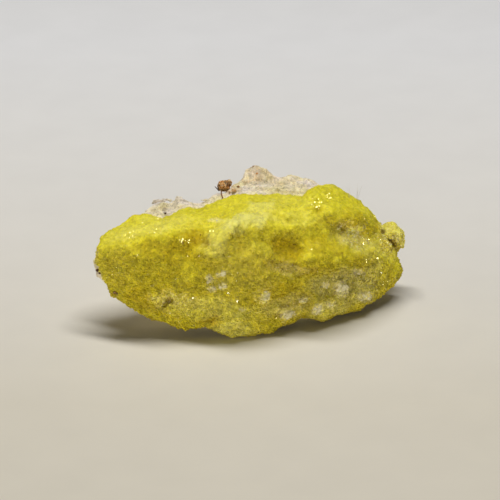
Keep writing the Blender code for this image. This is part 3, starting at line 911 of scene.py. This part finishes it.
def growGrains(name, surface, material, settings):
    # grains over one stretch of a surface, as a plain mesh of their own
    carrier = newObject(name, surface.data.copy())
    grow = carrier.modifiers.new("grown grains", "NODES")
    grow.node_group = grownGrains
    inputs = [item for item in grownGrains.interface.items_tree if item.in_out == "INPUT"]
    identifiers = {item.name: item.identifier for item in inputs}
    settings = {"Shapes": grainKinds, "Material": material, **settings}
    for name, value in settings.items():
        grow[identifiers[name]] = value
    return asPlainMesh(carrier)


sulfurGrains = {
    "stretches": (-60.0, -24.0, -8.0, 8.0, 24.0, 60.0),  # across, each a piece of its own
    "Spacing": 0.34 * mm,
    "Smallest": 0.36 * mm,
    "Largest": 1.0 * mm,
    "Extra Growth": 0.7,
    "Tilt": grown["halfTurn"],
    "Mask": "shows",
}


def makeSulfurGrains():
    settings = dict(sulfurGrains)
    edges = settings.pop("stretches")
    for number, (low, high) in enumerate(zip(edges, edges[1:])):
        settings.update({"Lowest Across": low * mm, "Highest Across": high * mm, "Seed": number})
        grains = growGrains(f"sulfurGrains{number + 1}", sulfurBody, sulfurGrain, settings)
        finishPiece(grains, None, None)
        print(grains.name, len(grains.data.polygons), "faces")


makeSulfurGrains()
storeEverywhere(sulfurBody.data, grainShade=0.5)
finishPiece(sulfurBody, sulfurSkin, True)
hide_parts("sulfur_mass")
print("sulfur grains grown")


rock = {
    "voxel": 0.42,
    "softening": 4,
    "lumps": (5.0, 0.5),
    "layers": (0.9, 0.34),  # thin layers that run along the specimen
    "layerStretch": 7.0,
    "grains": (0.9, 0.24),
    "sand": (0.5, 0.16),
    "closeUp": (0.45, 1.6),  # how far it grows to meet the sulfur, and from how near
    "peak": ((2.3, 26.0, 4.4, 2.4, 0.0, 1.0), 1.15),  # where it stands taller, and by how much
    "pinkWhite": (0.94, 0.85, 0.75),
    "cream": (0.89, 0.80, 0.48),
    "white": (0.95, 0.91, 0.82),
    "tan": (0.60, 0.43, 0.21),
    "grey": (0.40, 0.34, 0.25),
    "sulfurDust": (0.82, 0.74, 0.12),
    "zoneTints": (("dusted", "sulfurDust", 0.5), ("ochre", "tan", 0.8), ("dirt", "grey", 0.7)),
    "ragged": ((3.0, 1.5), (0.9, 0.7)),
    "proud": ((60, 0.25), (6, 0.6)),
    "dustReach": (0.4, 3.2),  # sulfur dust is full this near to the sulfur, and fades over this
    "bareGap": 0.6,
    "bareFoot": 0.9,
    "streaks": (140.0, 900.0, 900.0),  # scale along the specimen and across it
    "patches": (190.0, 5.0),
    "streaked": (0.5, 0.4),  # strength of the tan and the grey streaks
    # strength of the painted shade, grey, in the hollows
    "hollows": 0.4,
    "grainTints": (0.5, 0.6, 0.4),  # strength of the grey, the dusty and the white grains
    "sugaryGrain": {"Grain Size": 0.45, "Contrast": 0.30},
    "roughness": (0.75, 0.95),
    "subsurface": (0.1, (0.8, 0.6, 0.5), 0.5),
    "bump": (0.8, 0.15),
}
rockZones = {
    "ochre": (
        (1.8, 25.0, 3.6, 2.2, 0.0, 0.4),  # peak
        (1.7, 24.0, 1.5, 0.9, 0.0, 1.0),
        (-0.4, 23.6, 3.4, 0.5, 0.0, 1.0),
        (-4.6, 20.6, 2.0, 1.2, 20.0, 0.7),
        (7.0, 24.2, 6.0, 1.8, -8.0, 0.35),
        (2.6, 25.6, 1.3, 0.6, -20.0, 1.0),
    ),
    "dirt": (
        (-22.0, 16.8, 1.2, 0.8, 0.0, 0.5),
        (1.0, 25.9, 1.7, 0.6, 0.0, 1.0),
        (-22.0, 17.4, 5.0, 2.6, 0.0, 0.15),
        (-18.6, 18.0, 2.6, 0.4, 8.0, 0.9),
        (-21.2, 17.9, 0.4, 1.2, 25.0, 0.7),
        (-26.0, 17.3, 2.0, 0.4, 12.0, 0.5),
        (-24.3, 14.0, 0.7, 0.7, 0.0, 0.9),
        (-20.6, 17.2, 1.0, 1.4, -40.0, 0.6),
        (3.0, 24.6, 1.8, 0.5, -10.0, 0.6),
        (-43.5, -2.5, 2.0, 1.6, 0.0, 0.7),
    ),
}


def rockLift(at):
    thickness, depth = rock["layers"]
    stretched = Vector((at.x / rock["layerStretch"], at.y, at.z))
    lift = lumpy(at, rock["lumps"])
    lift += depth * noise.noise(stretched / thickness)
    return lift + grainy(at, rock["grains"]) + grainy(at, rock["sand"])


sulfurTree = treeOf(sulfurBody)


def makeRockBody():
    body = evenSkin("hostRockBody", "host_rock", rock["voxel"])
    mesh = body.data
    writePoints(mesh, smoothed(mesh, readPoints(mesh), rock["softening"]))
    places = onFace(readPoints(mesh))
    away = np.array([(sulfurTree.find_nearest(v.co)[3] or 0.0) / mm for v in mesh.vertices])
    lift = np.array([rockLift(Vector(p)) for p in places])
    closer, reach = rock["closeUp"]
    lift += closer * np.clip(reach - away, 0.0, 1.0)
    liftAlongNormals(mesh, lift)
    peak, taller = rock["peak"]
    upFace = np.array(faceToWorld.to_3x3() @ Vector((0.0, 1.0, 0.0)))
    writePoints(mesh, readPoints(mesh) + zone(places, [peak])[:, None] * taller * upFace)
    keepAboveGround(mesh)
    ragged = wander(places, *rock["ragged"])
    for name, spots in rockZones.items():
        storeValues(mesh, name, zone(ragged, spots))
    near, fading = rock["dustReach"]
    storeValues(mesh, "dusted", np.clip(1.0 - (away - near) / fading, 0.0, 1.0))
    storeProud(mesh, rock["proud"])
    aboveFoot = readPoints(mesh)[:, 2] > rock["bareFoot"] * mm
    storeValues(mesh, "shows", ramp(away - rock["bareGap"], 2.0, 0.0) * aboveFoot)
    return body


def rockMaterial():
    made, tree, shader = newMaterial("hostRockPale")
    place = objectPlace(tree)
    lean = math.radians(90.0 - face["lean"])
    stretch = {"Vector": place, "Rotation": (lean, 0.0, 0.0), "Scale": rock["streaks"]}
    streaks = clouds(tree, addNode(tree, "ShaderNodeMapping", stretch).outputs[0], 1.0, 6.0)
    patches = clouds(tree, place, *rock["patches"])
    colour = tintWhere(tree, rock["pinkWhite"], rock["cream"], patches, 0.4, 0.62, 1.0)
    tanStreaks, greyStreaks = rock["streaked"]
    colour = tintWhere(tree, colour, rock["tan"], streaks, 0.56, 0.72, tanStreaks)
    colour = tintWhere(tree, colour, rock["grey"], streaks, 0.42, 0.30, greyStreaks)
    for mask, tint, most in rock["zoneTints"]:
        colour = tintMasked(tree, colour, rock[tint], mask, most)
    # painted shade: grey in the hollows
    colour = paintShadeInHollows(tree, colour, rock["grey"], rock["hollows"])
    own = maskNamed(tree, "grainShade")
    greyGrains, dustyGrains, whiteGrains = rock["grainTints"]
    colour = tintWhere(tree, colour, rock["grey"], own, 0.10, 0.08, greyGrains)
    colour = tintWhere(tree, colour, rock["sulfurDust"], own, 0.90, 0.92, dustyGrains)
    colour = tintWhere(tree, colour, rock["white"], own, 0.45, 0.85, whiteGrains)
    grain = placeGroup(tree, sugaryGrain, {"Colour": colour, **rock["sugaryGrain"]})
    tree.links.new(grain.outputs["Colour"], shader.inputs["Base Color"])
    rough = reRange(tree, patches, 0.3, 0.7, *rock["roughness"])
    tree.links.new(rough, shader.inputs["Roughness"])
    addScattering(shader, *rock["subsurface"])
    addBump(tree, shader, grain.outputs["Height"], rock["bump"])
    return made


rockBody = makeRockBody()
rockPale = rockMaterial()
rockGrainSettings = {
    "Spacing": 0.52 * mm,
    "Smallest": 0.16 * mm,
    "Largest": 0.60 * mm,
    "Extra Growth": 0.0,
    "Tilt": grown["halfTurn"],
    "Mask": "shows",
    "Lowest Across": -60.0 * mm,
    "Highest Across": 60.0 * mm,
    "Seed": 40,
}
rockGrains = growGrains("hostRockGrains", rockBody, rockPale, rockGrainSettings)
storeEverywhere(rockBody.data, grainShade=0.3)
finishPiece(rockGrains, None, None)
finishPiece(rockBody, rockPale, True)
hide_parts("host_rock")
print("host rock:", len(rockBody.data.polygons), "and", len(rockGrains.data.polygons), "faces")


nodule = {
    "voxel": 0.10,
    "softening": 2,
    "narrower": 0.88,
    "crust": (1.25, 0.5),
    "pits": (0.5, 0.22),
    "middle": 34.2,  # height in millimetres below which it draws up
    "drawnUp": (0.7, 2.2),  # by how much at most, and over what height
    "proud": ((16, 3.5),),
    "patches": (900.0, 5.0),
    "specks": (2300.0, 4.0),
    "pinkShare": 0.7,
    "darkSpecks": 0.9,
    "lightSpecks": 0.5,
    # strength of the painted highlight on what stands out
    "paintedHighlightTops": 0.6,
    # strength of the painted shade, nearly black, in the hollows
    "hollows": 0.95,
    "roughness": (0.5, 0.85),
    "bump": (0.5, 0.08),
    "rust": (0.60, 0.23, 0.035),
    "ochre": (0.74, 0.43, 0.12),
    "light": (0.95, 0.80, 0.55),
    "dark": (0.06, 0.028, 0.012),
    "pink": (0.62, 0.45, 0.34),
    "shaded": (  # soft dark spots
        (-6.2, 22.6, 0.9, 0.6, 0.0, 0.6),
        (-9.3, 21.6, 0.5, 1.2, 0.0, 0.65),
        (-8.0, 20.5, 1.6, 0.5, 0.0, 0.6),
    ),
}


def makeNodule():
    body = evenSkin("noduleBody", "rusty_nodule", nodule["voxel"])
    mesh = body.data
    points = smoothed(mesh, readPoints(mesh), nodule["softening"])
    right = points[:, 0].max()
    points[:, 0] = right - nodule["narrower"] * (right - points[:, 0])
    writePoints(mesh, points)
    places = onFace(readPoints(mesh))
    crust, pits = nodule["crust"], nodule["pits"]
    lift = [grainy(Vector(p), crust) + grainy(Vector(p), pits) for p in places]
    liftAlongNormals(mesh, np.array(lift))
    points = readPoints(mesh)
    most, height = nodule["drawnUp"]
    below = nodule["middle"] * mm - points[:, 2]
    points[:, 2] += most * mm * np.clip(below / (height * mm), 0.0, 1.0)
    writePoints(mesh, points)
    storeProud(mesh, nodule["proud"])
    storeValues(mesh, "shaded", zone(places, nodule["shaded"]))
    return body


def noduleMaterial():
    made, tree, shader = newMaterial("noduleRust")
    place = objectPlace(tree)
    patches = clouds(tree, place, *nodule["patches"])
    specks = clouds(tree, place, *nodule["specks"])
    proud = maskNamed(tree, "proud")
    colour = tintWhere(tree, nodule["rust"], nodule["ochre"], patches, 0.42, 0.6, 1.0)
    colour = tintWhere(tree, colour, nodule["pink"], patches, 0.6, 0.72, nodule["pinkShare"])
    colour = tintWhere(tree, colour, nodule["dark"], specks, 0.52, 0.59, nodule["darkSpecks"])
    colour = tintWhere(tree, colour, nodule["light"], specks, 0.42, 0.36, nodule["lightSpecks"])
    # painted highlight: lighter on the tops of the lumps
    colour = tintWhere(tree, colour, nodule["light"], proud, 0.65, 0.95, nodule["paintedHighlightTops"])
    # painted shade: nearly black in the hollows
    colour = paintShadeInHollows(tree, colour, nodule["dark"], nodule["hollows"], 0.15, 0.55)
    colour = mixColours(tree, maskNamed(tree, "shaded"), colour, nodule["dark"])
    tree.links.new(colour, shader.inputs["Base Color"])
    roughness = reRange(tree, specks, 0.3, 0.7, *nodule["roughness"])
    tree.links.new(roughness, shader.inputs["Roughness"])
    addBump(tree, shader, specks, nodule["bump"])
    return made


noduleBody = makeNodule()
noduleRust = noduleMaterial()
finishPiece(noduleBody, noduleRust, True)
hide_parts("rusty_nodule")
print("nodule:", len(noduleBody.data.polygons), "faces")


pale = {
    "shade": (0.56, 0.49, 0.21),
    "white": (0.80, 0.74, 0.47),
    "perPatch": 9,
    "size": (0.28, 0.5),  # beside the patch's own size
    "depth": 0.8,  # beside the smaller of its width and height
    "stands": 0.25,
    "voxel": 0.12,
    "softening": 4,
    "relief": (0.5, 0.16),
    "clouds": (700.0, 4.0),
    "sugaryGrain": {"Grain Size": 0.35, "Contrast": 0.1},
    "roughness": (0.3, 0.6),
    "subsurface": (0.5, (1.0, 0.9, 0.6), 0.15),
    "bump": (0.3, 0.06),
}


def blockyCrystal(rng, size):
    # a hull of points pushed towards the corners of a box
    corners = rng.uniform(-1.0, 1.0, size=(16, 3))
    corners = np.sign(corners) * np.abs(corners) ** 0.5
    return hullMesh("blocky", corners * size)


def seenOn(tree, across, up):
    # the place and normal where a line straight onto the face meets a surface, or None and None
    start = faceToWorld @ Vector((across, up, 60.0))
    return tree.ray_cast(start, -outOfFace)[:2]


def makePaleCrystals():
    rng = np.random.default_rng(23)
    meshes = []
    for across, up, halfWidth, halfHeight, turn, strength in sulfurZones["blebs"]:
        spin = Matrix.Rotation(math.radians(turn), 4, "Z")
        full = np.array([halfWidth, halfHeight, pale["depth"] * min(halfWidth, halfHeight)])
        for _ in range(pale["perPatch"]):
            right, over = rng.uniform(-0.7, 0.7, 2)
            offset = spin @ Vector((right * halfWidth, over * halfHeight, 0.0))
            at, normal = seenOn(sulfurTree, across + offset.x, up + offset.y)
            share = strength * rng.uniform(*pale["size"])
            mesh = blockyCrystal(rng, full * share)
            lean = (normal + 0.4 * Vector(rng.uniform(-1.0, 1.0, 3))).normalized()
            tilt = (lean + outOfFace).to_track_quat("Z", "Y").to_matrix().to_4x4()
            out = Matrix.Translation(at + normal * pale["stands"] * mm)
            twist = Matrix.Rotation(rng.uniform(-0.5, 0.5), 4, "Z")
            mesh.transform(out @ tilt @ spin @ twist @ Matrix.Scale(mm, 4))
            meshes.append(mesh)
    made = remeshed(newObject("paleCrystals", joinedMesh("paleCrystals", meshes)), pale["voxel"])
    mesh = made.data
    writePoints(mesh, smoothed(mesh, readPoints(mesh), pale["softening"]))
    places = onFace(readPoints(mesh))
    lift = [grainy(Vector(p), pale["relief"], middle=0.2) for p in places]
    liftAlongNormals(mesh, np.array(lift))
    return made


def paleMaterial():
    made, tree, shader = newMaterial("paleCrystalWhite")
    cloudy = clouds(tree, objectPlace(tree), *pale["clouds"])
    colour = tintWhere(tree, pale["white"], pale["shade"], cloudy, 0.38, 0.66, 1.0)
    grain = placeGroup(tree, sugaryGrain, {"Colour": colour, **pale["sugaryGrain"]})
    tree.links.new(grain.outputs["Colour"], shader.inputs["Base Color"])
    roughness = reRange(tree, cloudy, 0.3, 0.7, *pale["roughness"])
    tree.links.new(roughness, shader.inputs["Roughness"])
    addScattering(shader, *pale["subsurface"])
    addBump(tree, shader, grain.outputs["Height"], pale["bump"])
    return made


paleCrystals = makePaleCrystals()
finishPiece(paleCrystals, paleMaterial(), True)
print("pale crystals:", len(paleCrystals.data.polygons), "faces")


columns = {
    "count": 300,
    "length": (0.8, 2.3),
    "width": (0.22, 0.5),
    "turn": (38.0, 86.0),  # degrees up from the horizontal
    "rises": (0.15, 0.4),
    "across": (16.0, 42.0),  # where they are sought
    "up": (-14.0, 1.0),
}
glints = {
    "size": (0.09, 0.22),
    "stands": 0.42,
    "facing": (0.0, -0.5, 0.866),
    "unevenness": (0.06, 0.16),  # of how they face, in the spots and scattered
    "scattered": 30,
    "shader": {
        "Base Color": (0.95, 0.86, 0.30, 1.0),
        "Roughness": 0.14,
        "Metallic": 0.25,
        "IOR": 1.3,
    },
    "spots": (  # across, up, half width, half height, how many
        (-18.6, 6.1, 1.7, 0.5, 14),
        (-34.2, 7.6, 2.2, 0.9, 12),
        (-28.0, 8.6, 2.0, 0.8, 4),
        (19.2, 16.6, 1.8, 1.4, 14),
        (21.6, 18.6, 1.2, 1.0, 8),
        (35.4, 13.7, 0.6, 0.9, 3),
        (34.6, 0.6, 2.4, 0.8, 7),
        (32.6, 5.8, 1.6, 1.2, 7),
        (27.6, 7.2, 1.6, 0.8, 4),
        (38.0, -6.8, 2.2, 1.4, 7),
        (-2.9, 1.4, 0.1, 0.1, 1),
        (-5.7, -0.9, 0.1, 0.1, 1),
        (14.9, -7.1, 0.2, 0.2, 2),
        (7.1, -11.7, 0.2, 0.3, 2),
        (-24.3, -6.0, 0.3, 0.2, 2),
        (-41.4, -6.1, 0.8, 0.3, 3),
        (-27.7, -6.6, 1.4, 0.4, 3),
        (-20.6, -4.6, 0.6, 0.4, 2),
        (6.9, 8.0, 0.4, 0.3, 2),
        (-7.6, -14.6, 2.4, 1.6, 4),
        (-3.0, -5.5, 5.0, 4.0, 4),
    ),
}


def makeColumns():
    rng = np.random.default_rng(31)
    meshes = []
    while len(meshes) < columns["count"]:
        across, up = rng.uniform(*columns["across"]), rng.uniform(*columns["up"])
        here = zone(np.array([[across, up]]), sulfurZones["columned"])[0]
        if here < rng.uniform(0.2, 0.9):
            continue
        at, normal = seenOn(sulfurTree, across, up)
        width = rng.uniform(*columns["width"])
        size = np.array([rng.uniform(*columns["length"]), width, width]) / 2.0
        mesh = blockyCrystal(rng, size)
        lean = normal + 0.15 * Vector(rng.uniform(-1.0, 1.0, 3))
        lean = lean.to_track_quat("Z", "Y").to_matrix().to_4x4()
        turn = Matrix.Rotation(math.radians(rng.uniform(*columns["turn"])), 4, "Z")
        out = Matrix.Translation(at + normal * rng.uniform(*columns["rises"]) * mm)
        mesh.transform(out @ lean @ turn @ Matrix.Scale(mm, 4))
        storeEverywhere(mesh, grainShade=rng.uniform(0.1, 0.9))
        meshes.append(mesh)
    made = newObject("sulfurColumns", joinedMesh("sulfurColumns", meshes))
    dressSulfur(made.data, onFace(readPoints(made.data)))
    storeEverywhere(made.data, proud=0.55, upward=0.3, under=0.0)
    return made


def makeGlints():
    # small flat facets turned so that they flash under a lamp overhead
    rng = np.random.default_rng(37)
    meshes = []
    places = []
    inSpots, scattered = glints["unevenness"]
    for across, up, halfWidth, halfHeight, count in glints["spots"]:
        for _ in range(count):
            right, over = rng.uniform(-1.0, 1.0, 2)
            places.append((across + right * halfWidth, up + over * halfHeight, inSpots))
    for _ in range(glints["scattered"]):
        places.append((rng.uniform(-38.0, 38.0), rng.uniform(-12.0, 14.0), scattered))
    for across, up, uneven in places:
        at, normal = seenOn(sulfurTree, across, up)
        if at is None:
            continue
        facing = Vector(glints["facing"]) + uneven * Vector(rng.uniform(-1.0, 1.0, 3))
        size = rng.uniform(*glints["size"])
        corners = [(math.cos(t), math.sin(t)) for t in np.sort(rng.uniform(0.0, 6.28, 5))]
        corners = [(x * size, y * size, z) for x, y in corners for z in (0.0, -0.9 * size)]
        mesh = hullMesh("facet", corners)
        turn = facing.to_track_quat("Z", "Y").to_matrix().to_4x4()
        out = Matrix.Translation(at + normal * glints["stands"] * mm)
        mesh.transform(out @ turn @ Matrix.Scale(mm, 4))
        meshes.append(mesh)
    return newObject("sulfurGlints", joinedMesh("sulfurGlints", meshes))


def glintMaterial():
    made, _, shader = newMaterial("sulfurFacet")
    setShader(shader, glints["shader"])
    return made


sulfurColumns = makeColumns()
finishPiece(sulfurColumns, sulfurGrain, False)
sulfurGlints = makeGlints()
finishPiece(sulfurGlints, glintMaterial(), False)
print("columns:", len(sulfurColumns.data.polygons), "faces")
print("glints:", len(sulfurGlints.data.polygons), "faces")


bits = {
    "flakes": (  # across, up, out, length, height, thickness, turn
        (-26.3, 17.5, -9.0, 4.6, 1.3, 0.5, 12.0),
        (-24.0, 17.9, -9.5, 3.4, 0.9, 0.4, -8.0),
        (-20.6, 18.6, -9.5, 3.4, 0.7, 0.5, 8.0),
        (-26.6, 13.7, -5.0, 3.2, 1.6, 0.6, 6.0),
        (-13.0, 18.0, -8.0, 2.4, 0.8, 0.5, 16.0),
    ),
    "crumbs": (  # across, up, out, size, brightness
        (-38.5, -8.7, 2.0, 1.1, 0.3),
        (-37.8, -8.9, 2.5, 0.7, 0.2),
        (-28.8, -16.5, -2.0, 1.2, 0.2),
        (-44.3, -2.6, 0.0, 1.4, 0.1),
        (-44.0, -4.1, 0.0, 1.0, 0.2),
        (-4.6, 20.4, -4.0, 1.4, 0.8),
        (-3.4, 21.5, -5.0, 0.9, 0.35),
        (-5.8, 20.0, -4.0, 0.8, 0.8),
        (2.0, 25.4, -6.0, 0.7, 0.5),
        (0.9, 27.5, -6.0, 0.5, 0.3),
        (-24.2, 13.9, -4.0, 0.7, 0.1),
    ),
    "twigs": (  # from (across, up, out) to (across, up, out), thickness at each end
        ((-10.1, 21.7, 0.0), (-8.8, 20.4, 0.0), 0.10, 0.20),
    ),
    "stemTop": (-8.3, 20.8),
    "stem": ((-8.2, 19.4), (-8.1, 19.0), (-7.95, 18.6), (-7.8, 18.25)),  # down the rock
    "stemThickness": 0.20,
    "stemStands": 0.2,
    "stemShade": 0.3,
    "chipsPerFlake": 4,
    "flakeVoxel": 0.14,
    "flakeSoftening": 2,
    "flakeRelief": (0.7, 0.4),
    "crumbCorners": 26,
    "crumbShape": (1.0, 0.8, 0.75),
    "crumbStands": 0.2,  # beside its size
    "hairs": (  # across, up, out, spread across, how many, greatest length
        (31.0, 18.6, -9.0, 2.4, 9, 5.0),
        (-20.0, 16.5, -7.0, 9.0, 9, 1.6),
        (12.0, 21.0, -7.0, 12.0, 10, 1.6),
        (36.5, 9.6, -4.0, 2.5, 4, 1.8),
    ),
    "hairThickness": 0.04,
    "hairThins": 0.75,  # thickness kept at each of its joints
    "hairJoints": 4,
    "hairColours": ((0.80, 0.77, 0.70), (0.55, 0.50, 0.42)),
    "hairRoughness": 0.6,
}
bothTrees = (sulfurTree, treeOf(rockBody))


def nearest(across, up, out):
    # the nearest place on the rock or the sulfur, and its normal
    at = faceToWorld @ Vector((across, up, out))
    spots = [tree.find_nearest(at) for tree in bothTrees]
    return min(spots, key=lambda spot: (spot[0] - at).length)[:2]


def inFront(across, up, out=0.0):
    # the foremost surface seen straight onto the face, or the nearest one past its edge
    start = faceToWorld @ Vector((across, up, 60.0))
    seen = [seenOn(tree, across, up) for tree in bothTrees]
    seen = [spot for spot in seen if spot[0] is not None]
    if not seen:
        return nearest(across, up, out)
    return min(seen, key=lambda spot: (spot[0] - start).length)


def spike(start, end, startWidth, endWidth, sides=5):
    # a thin tapered rod between two places in metres
    turn = (end - start).to_track_quat("Z", "Y").to_matrix().to_4x4()
    length = (end - start).length / mm
    corners = []
    for height, width in ((0.0, startWidth), (length, endWidth)):
        for number in range(sides):
            angle = 2.0 * math.pi * number / sides
            corners.append((width * math.cos(angle), width * math.sin(angle), height))
    mesh = hullMesh("spike", corners)
    mesh.transform(Matrix.Translation(start) @ turn @ Matrix.Scale(mm, 4))
    return mesh


def noduleDepth():
    return np.mean(onFace(readPoints(noduleBody.data))[:, 2])


def makeFlakes():
    rng = np.random.default_rng(41)
    meshes = []
    for across, up, out, length, height, thickness, turn in bits["flakes"]:
        size = np.array([0.32 * length, 0.36 * height, thickness])
        for _ in range(bits["chipsPerFlake"]):
            corners = np.sign(rng.uniform(-1.0, 1.0, (14, 3))) * rng.uniform(0.35, 1.0, (14, 3))
            right, over = rng.uniform(-0.3, 0.3), rng.uniform(-0.25, 0.25)
            shift = np.array([right * length, over * height, 0.0])
            mesh = hullMesh("flake", corners * size + shift)
            mesh.transform(Matrix.Rotation(math.radians(turn + rng.uniform(-12.0, 12.0)), 4, "Z"))
            mesh.transform(faceToWorld @ Matrix.Translation((across, up, out)))
            meshes.append(mesh)
    made = newObject("hostRockFlakes", joinedMesh("hostRockFlakes", meshes))
    mesh = remeshed(made, bits["flakeVoxel"]).data
    writePoints(mesh, smoothed(mesh, readPoints(mesh), bits["flakeSoftening"]))
    places = onFace(readPoints(mesh))
    liftAlongNormals(mesh, np.array([grainy(Vector(p), bits["flakeRelief"]) for p in places]))
    storeEverywhere(mesh, proud=1.0, dusted=0.0, ochre=0.0, dirt=0.0, grainShade=0.85)
    return made


def makeCrumbs():
    # the crumbs, the twig and the stem under the nodule
    rng = np.random.default_rng(43)
    meshes = []
    many = bits["crumbCorners"]
    for across, up, out, size, brightness in bits["crumbs"]:
        at, normal = inFront(across, up, out)
        corners = 0.5 * size * (evenlyAround(many) + rng.uniform(-0.18, 0.18, (many, 3)))
        mesh = hullMesh("crumb", corners * np.array(bits["crumbShape"]))
        place = Matrix.Translation(at + normal * bits["crumbStands"] * size * mm)
        mesh.transform(place @ Matrix.Scale(mm, 4))
        storeEverywhere(mesh, proud=brightness)
        meshes.append(mesh)
    depth = noduleDepth()
    for start, end, startWidth, endWidth in bits["twigs"]:
        ends = [faceToWorld @ (Vector(place) + Vector((0.0, 0.0, depth))) for place in (start, end)]
        mesh = spike(*ends, startWidth, endWidth)
        storeEverywhere(mesh, proud=0.0)
        meshes.append(mesh)
    stations = [faceToWorld @ Vector((*bits["stemTop"], depth))]
    for place in bits["stem"]:
        at, normal = inFront(*place)
        stations.append(at + normal * bits["stemStands"] * mm)
    for start, end in zip(stations, stations[1:]):
        mesh = spike(start, end, bits["stemThickness"], bits["stemThickness"])
        storeEverywhere(mesh, proud=bits["stemShade"])
        meshes.append(mesh)
    return newObject("darkCrumbs", joinedMesh("darkCrumbs", meshes))


def makeHairs():
    rng = np.random.default_rng(47)
    meshes = []
    joints = bits["hairJoints"]
    for across, up, out, spread, count, longest in bits["hairs"]:
        for _ in range(count):
            right, over = rng.uniform(-spread, spread), rng.uniform(-1.0, 1.0)
            at, _ = nearest(across + right, up + over, out)
            lean = Vector((rng.uniform(-0.6, 0.6), rng.uniform(-0.3, 0.3), 1.0)).normalized()
            bend = Vector((rng.uniform(-0.3, 0.3), rng.uniform(-0.3, 0.3), 0.0))
            step = rng.uniform(0.4, 1.0) * longest * mm / joints
            width = bits["hairThickness"]
            for _ in range(joints):
                end = at + lean * step
                thinner = bits["hairThins"] * width
                meshes.append(spike(at, end, width, thinner, 4))
                at, width = end, thinner
                lean = (lean + bend).normalized()
    return newObject("fineHairs", joinedMesh("fineHairs", meshes))


def hairMaterial():
    made, tree, shader = newMaterial("paleHair")
    light, dark = bits["hairColours"]
    shade = clouds(tree, objectPlace(tree), 300.0, 2.0)
    colour = tintWhere(tree, light, dark, shade, 0.4, 0.6, 1.0)
    tree.links.new(colour, shader.inputs["Base Color"])
    shader.inputs["Roughness"].default_value = bits["hairRoughness"]
    return made


finishPiece(makeFlakes(), rockPale, True)
finishPiece(makeCrumbs(), noduleRust, False)
finishPiece(makeHairs(), hairMaterial(), True)
print("loose bits made")


studio = {
    "floorSize": 3.0,
    "floorNear": (0.735, 0.70, 0.605),
    "floorFar": (0.88, 0.895, 0.92),
    "sky": 0.026,
    "skyColour": (1.0, 0.88, 0.60),
    "floorRoughness": 0.8,
    "floorMottle": (60.0, 6.0),
    "floorShades": (0.985, 1.015),
    "sweep": (-0.06, 0.20),  # metres behind the middle, from the near colour to the far one
    "lamps": (  # place, size, power, colour
        ("stripAbove", (0.03, 0.07, 0.80), (0.65, 0.13), 5.45, (1.0, 0.975, 0.945)),
        ("cardInFront", (-0.08, -1.0, 0.08), (1.0, 0.12), 4.6, (1.0, 0.95, 0.82)),
        ("cardAtLeft", (-0.9, -0.30, 0.12), (0.4, 0.10), 1.3, (1.0, 0.93, 0.78)),
    ),
    "lampsAim": (0.0, 0.0, 0.02),
    "viewWidth": 142.85714,  # at the face, in millimetres
    "viewMiddle": (0.0, 3.43),  # on the face
    "distance": 1400.0,
    "sensor": 36.0,
    "clip": (0.01, 20.0),
}


def makeFloor():
    grid = bmesh.new()
    bmesh.ops.create_grid(grid, x_segments=8, y_segments=8, size=studio["floorSize"] / 2.0)
    mesh = bpy.data.meshes.new("floor")
    grid.to_mesh(mesh)
    grid.free()
    floor = newObject("floor", mesh)
    made, tree, shader = newMaterial("floorPale")
    place = objectPlace(tree)
    farther = addNode(tree, "ShaderNodeSeparateXYZ", {0: place}).outputs[1]
    sweep = reRange(tree, farther, *studio["sweep"], 0.0, 1.0)
    colour = mixColours(tree, sweep, studio["floorNear"], studio["floorFar"])
    mottle = clouds(tree, place, *studio["floorMottle"])
    shade = reRange(tree, mottle, 0.3, 0.7, *studio["floorShades"])
    tree.links.new(brightened(tree, colour, shade), shader.inputs["Base Color"])
    shader.inputs["Roughness"].default_value = studio["floorRoughness"]
    mesh.materials.append(made)


def addLamp(name, place, size, power, colour):
    lamp = bpy.data.lights.new(name, "AREA")
    lamp.shape = "RECTANGLE"
    lamp.size, lamp.size_y = size
    lamp.energy = power
    lamp.color = colour
    thing = newObject(name, lamp)
    thing.location = place
    aim = Vector(studio["lampsAim"]) - thing.location
    thing.rotation_euler = aim.to_track_quat("-Z", "Y").to_euler()


def makeLights():
    for lamp in studio["lamps"]:
        addLamp(*lamp)
    world = bpy.data.worlds.new("studio")
    bpy.context.scene.world = world
    world.use_nodes = True
    background = world.node_tree.nodes["Background"]
    background.inputs["Color"].default_value = (*studio["skyColour"], 1.0)
    background.inputs["Strength"].default_value = studio["sky"]


def makeCamera():
    camera = bpy.data.cameras.new("camera")
    thing = newObject("camera", camera)
    aim = faceToWorld @ Vector((*studio["viewMiddle"], 0.0))
    thing.location = aim + outOfFace * studio["distance"] * mm
    thing.rotation_euler = (-outOfFace).to_track_quat("-Z", "Y").to_euler()
    camera.sensor_width = studio["sensor"]
    camera.lens = studio["sensor"] * studio["distance"] / studio["viewWidth"]
    camera.clip_start, camera.clip_end = studio["clip"]
    bpy.context.scene.camera = thing
    bpy.context.scene.view_settings.view_transform = "Standard"


makeFloor()
makeLights()
makeCamera()
print("studio set up")
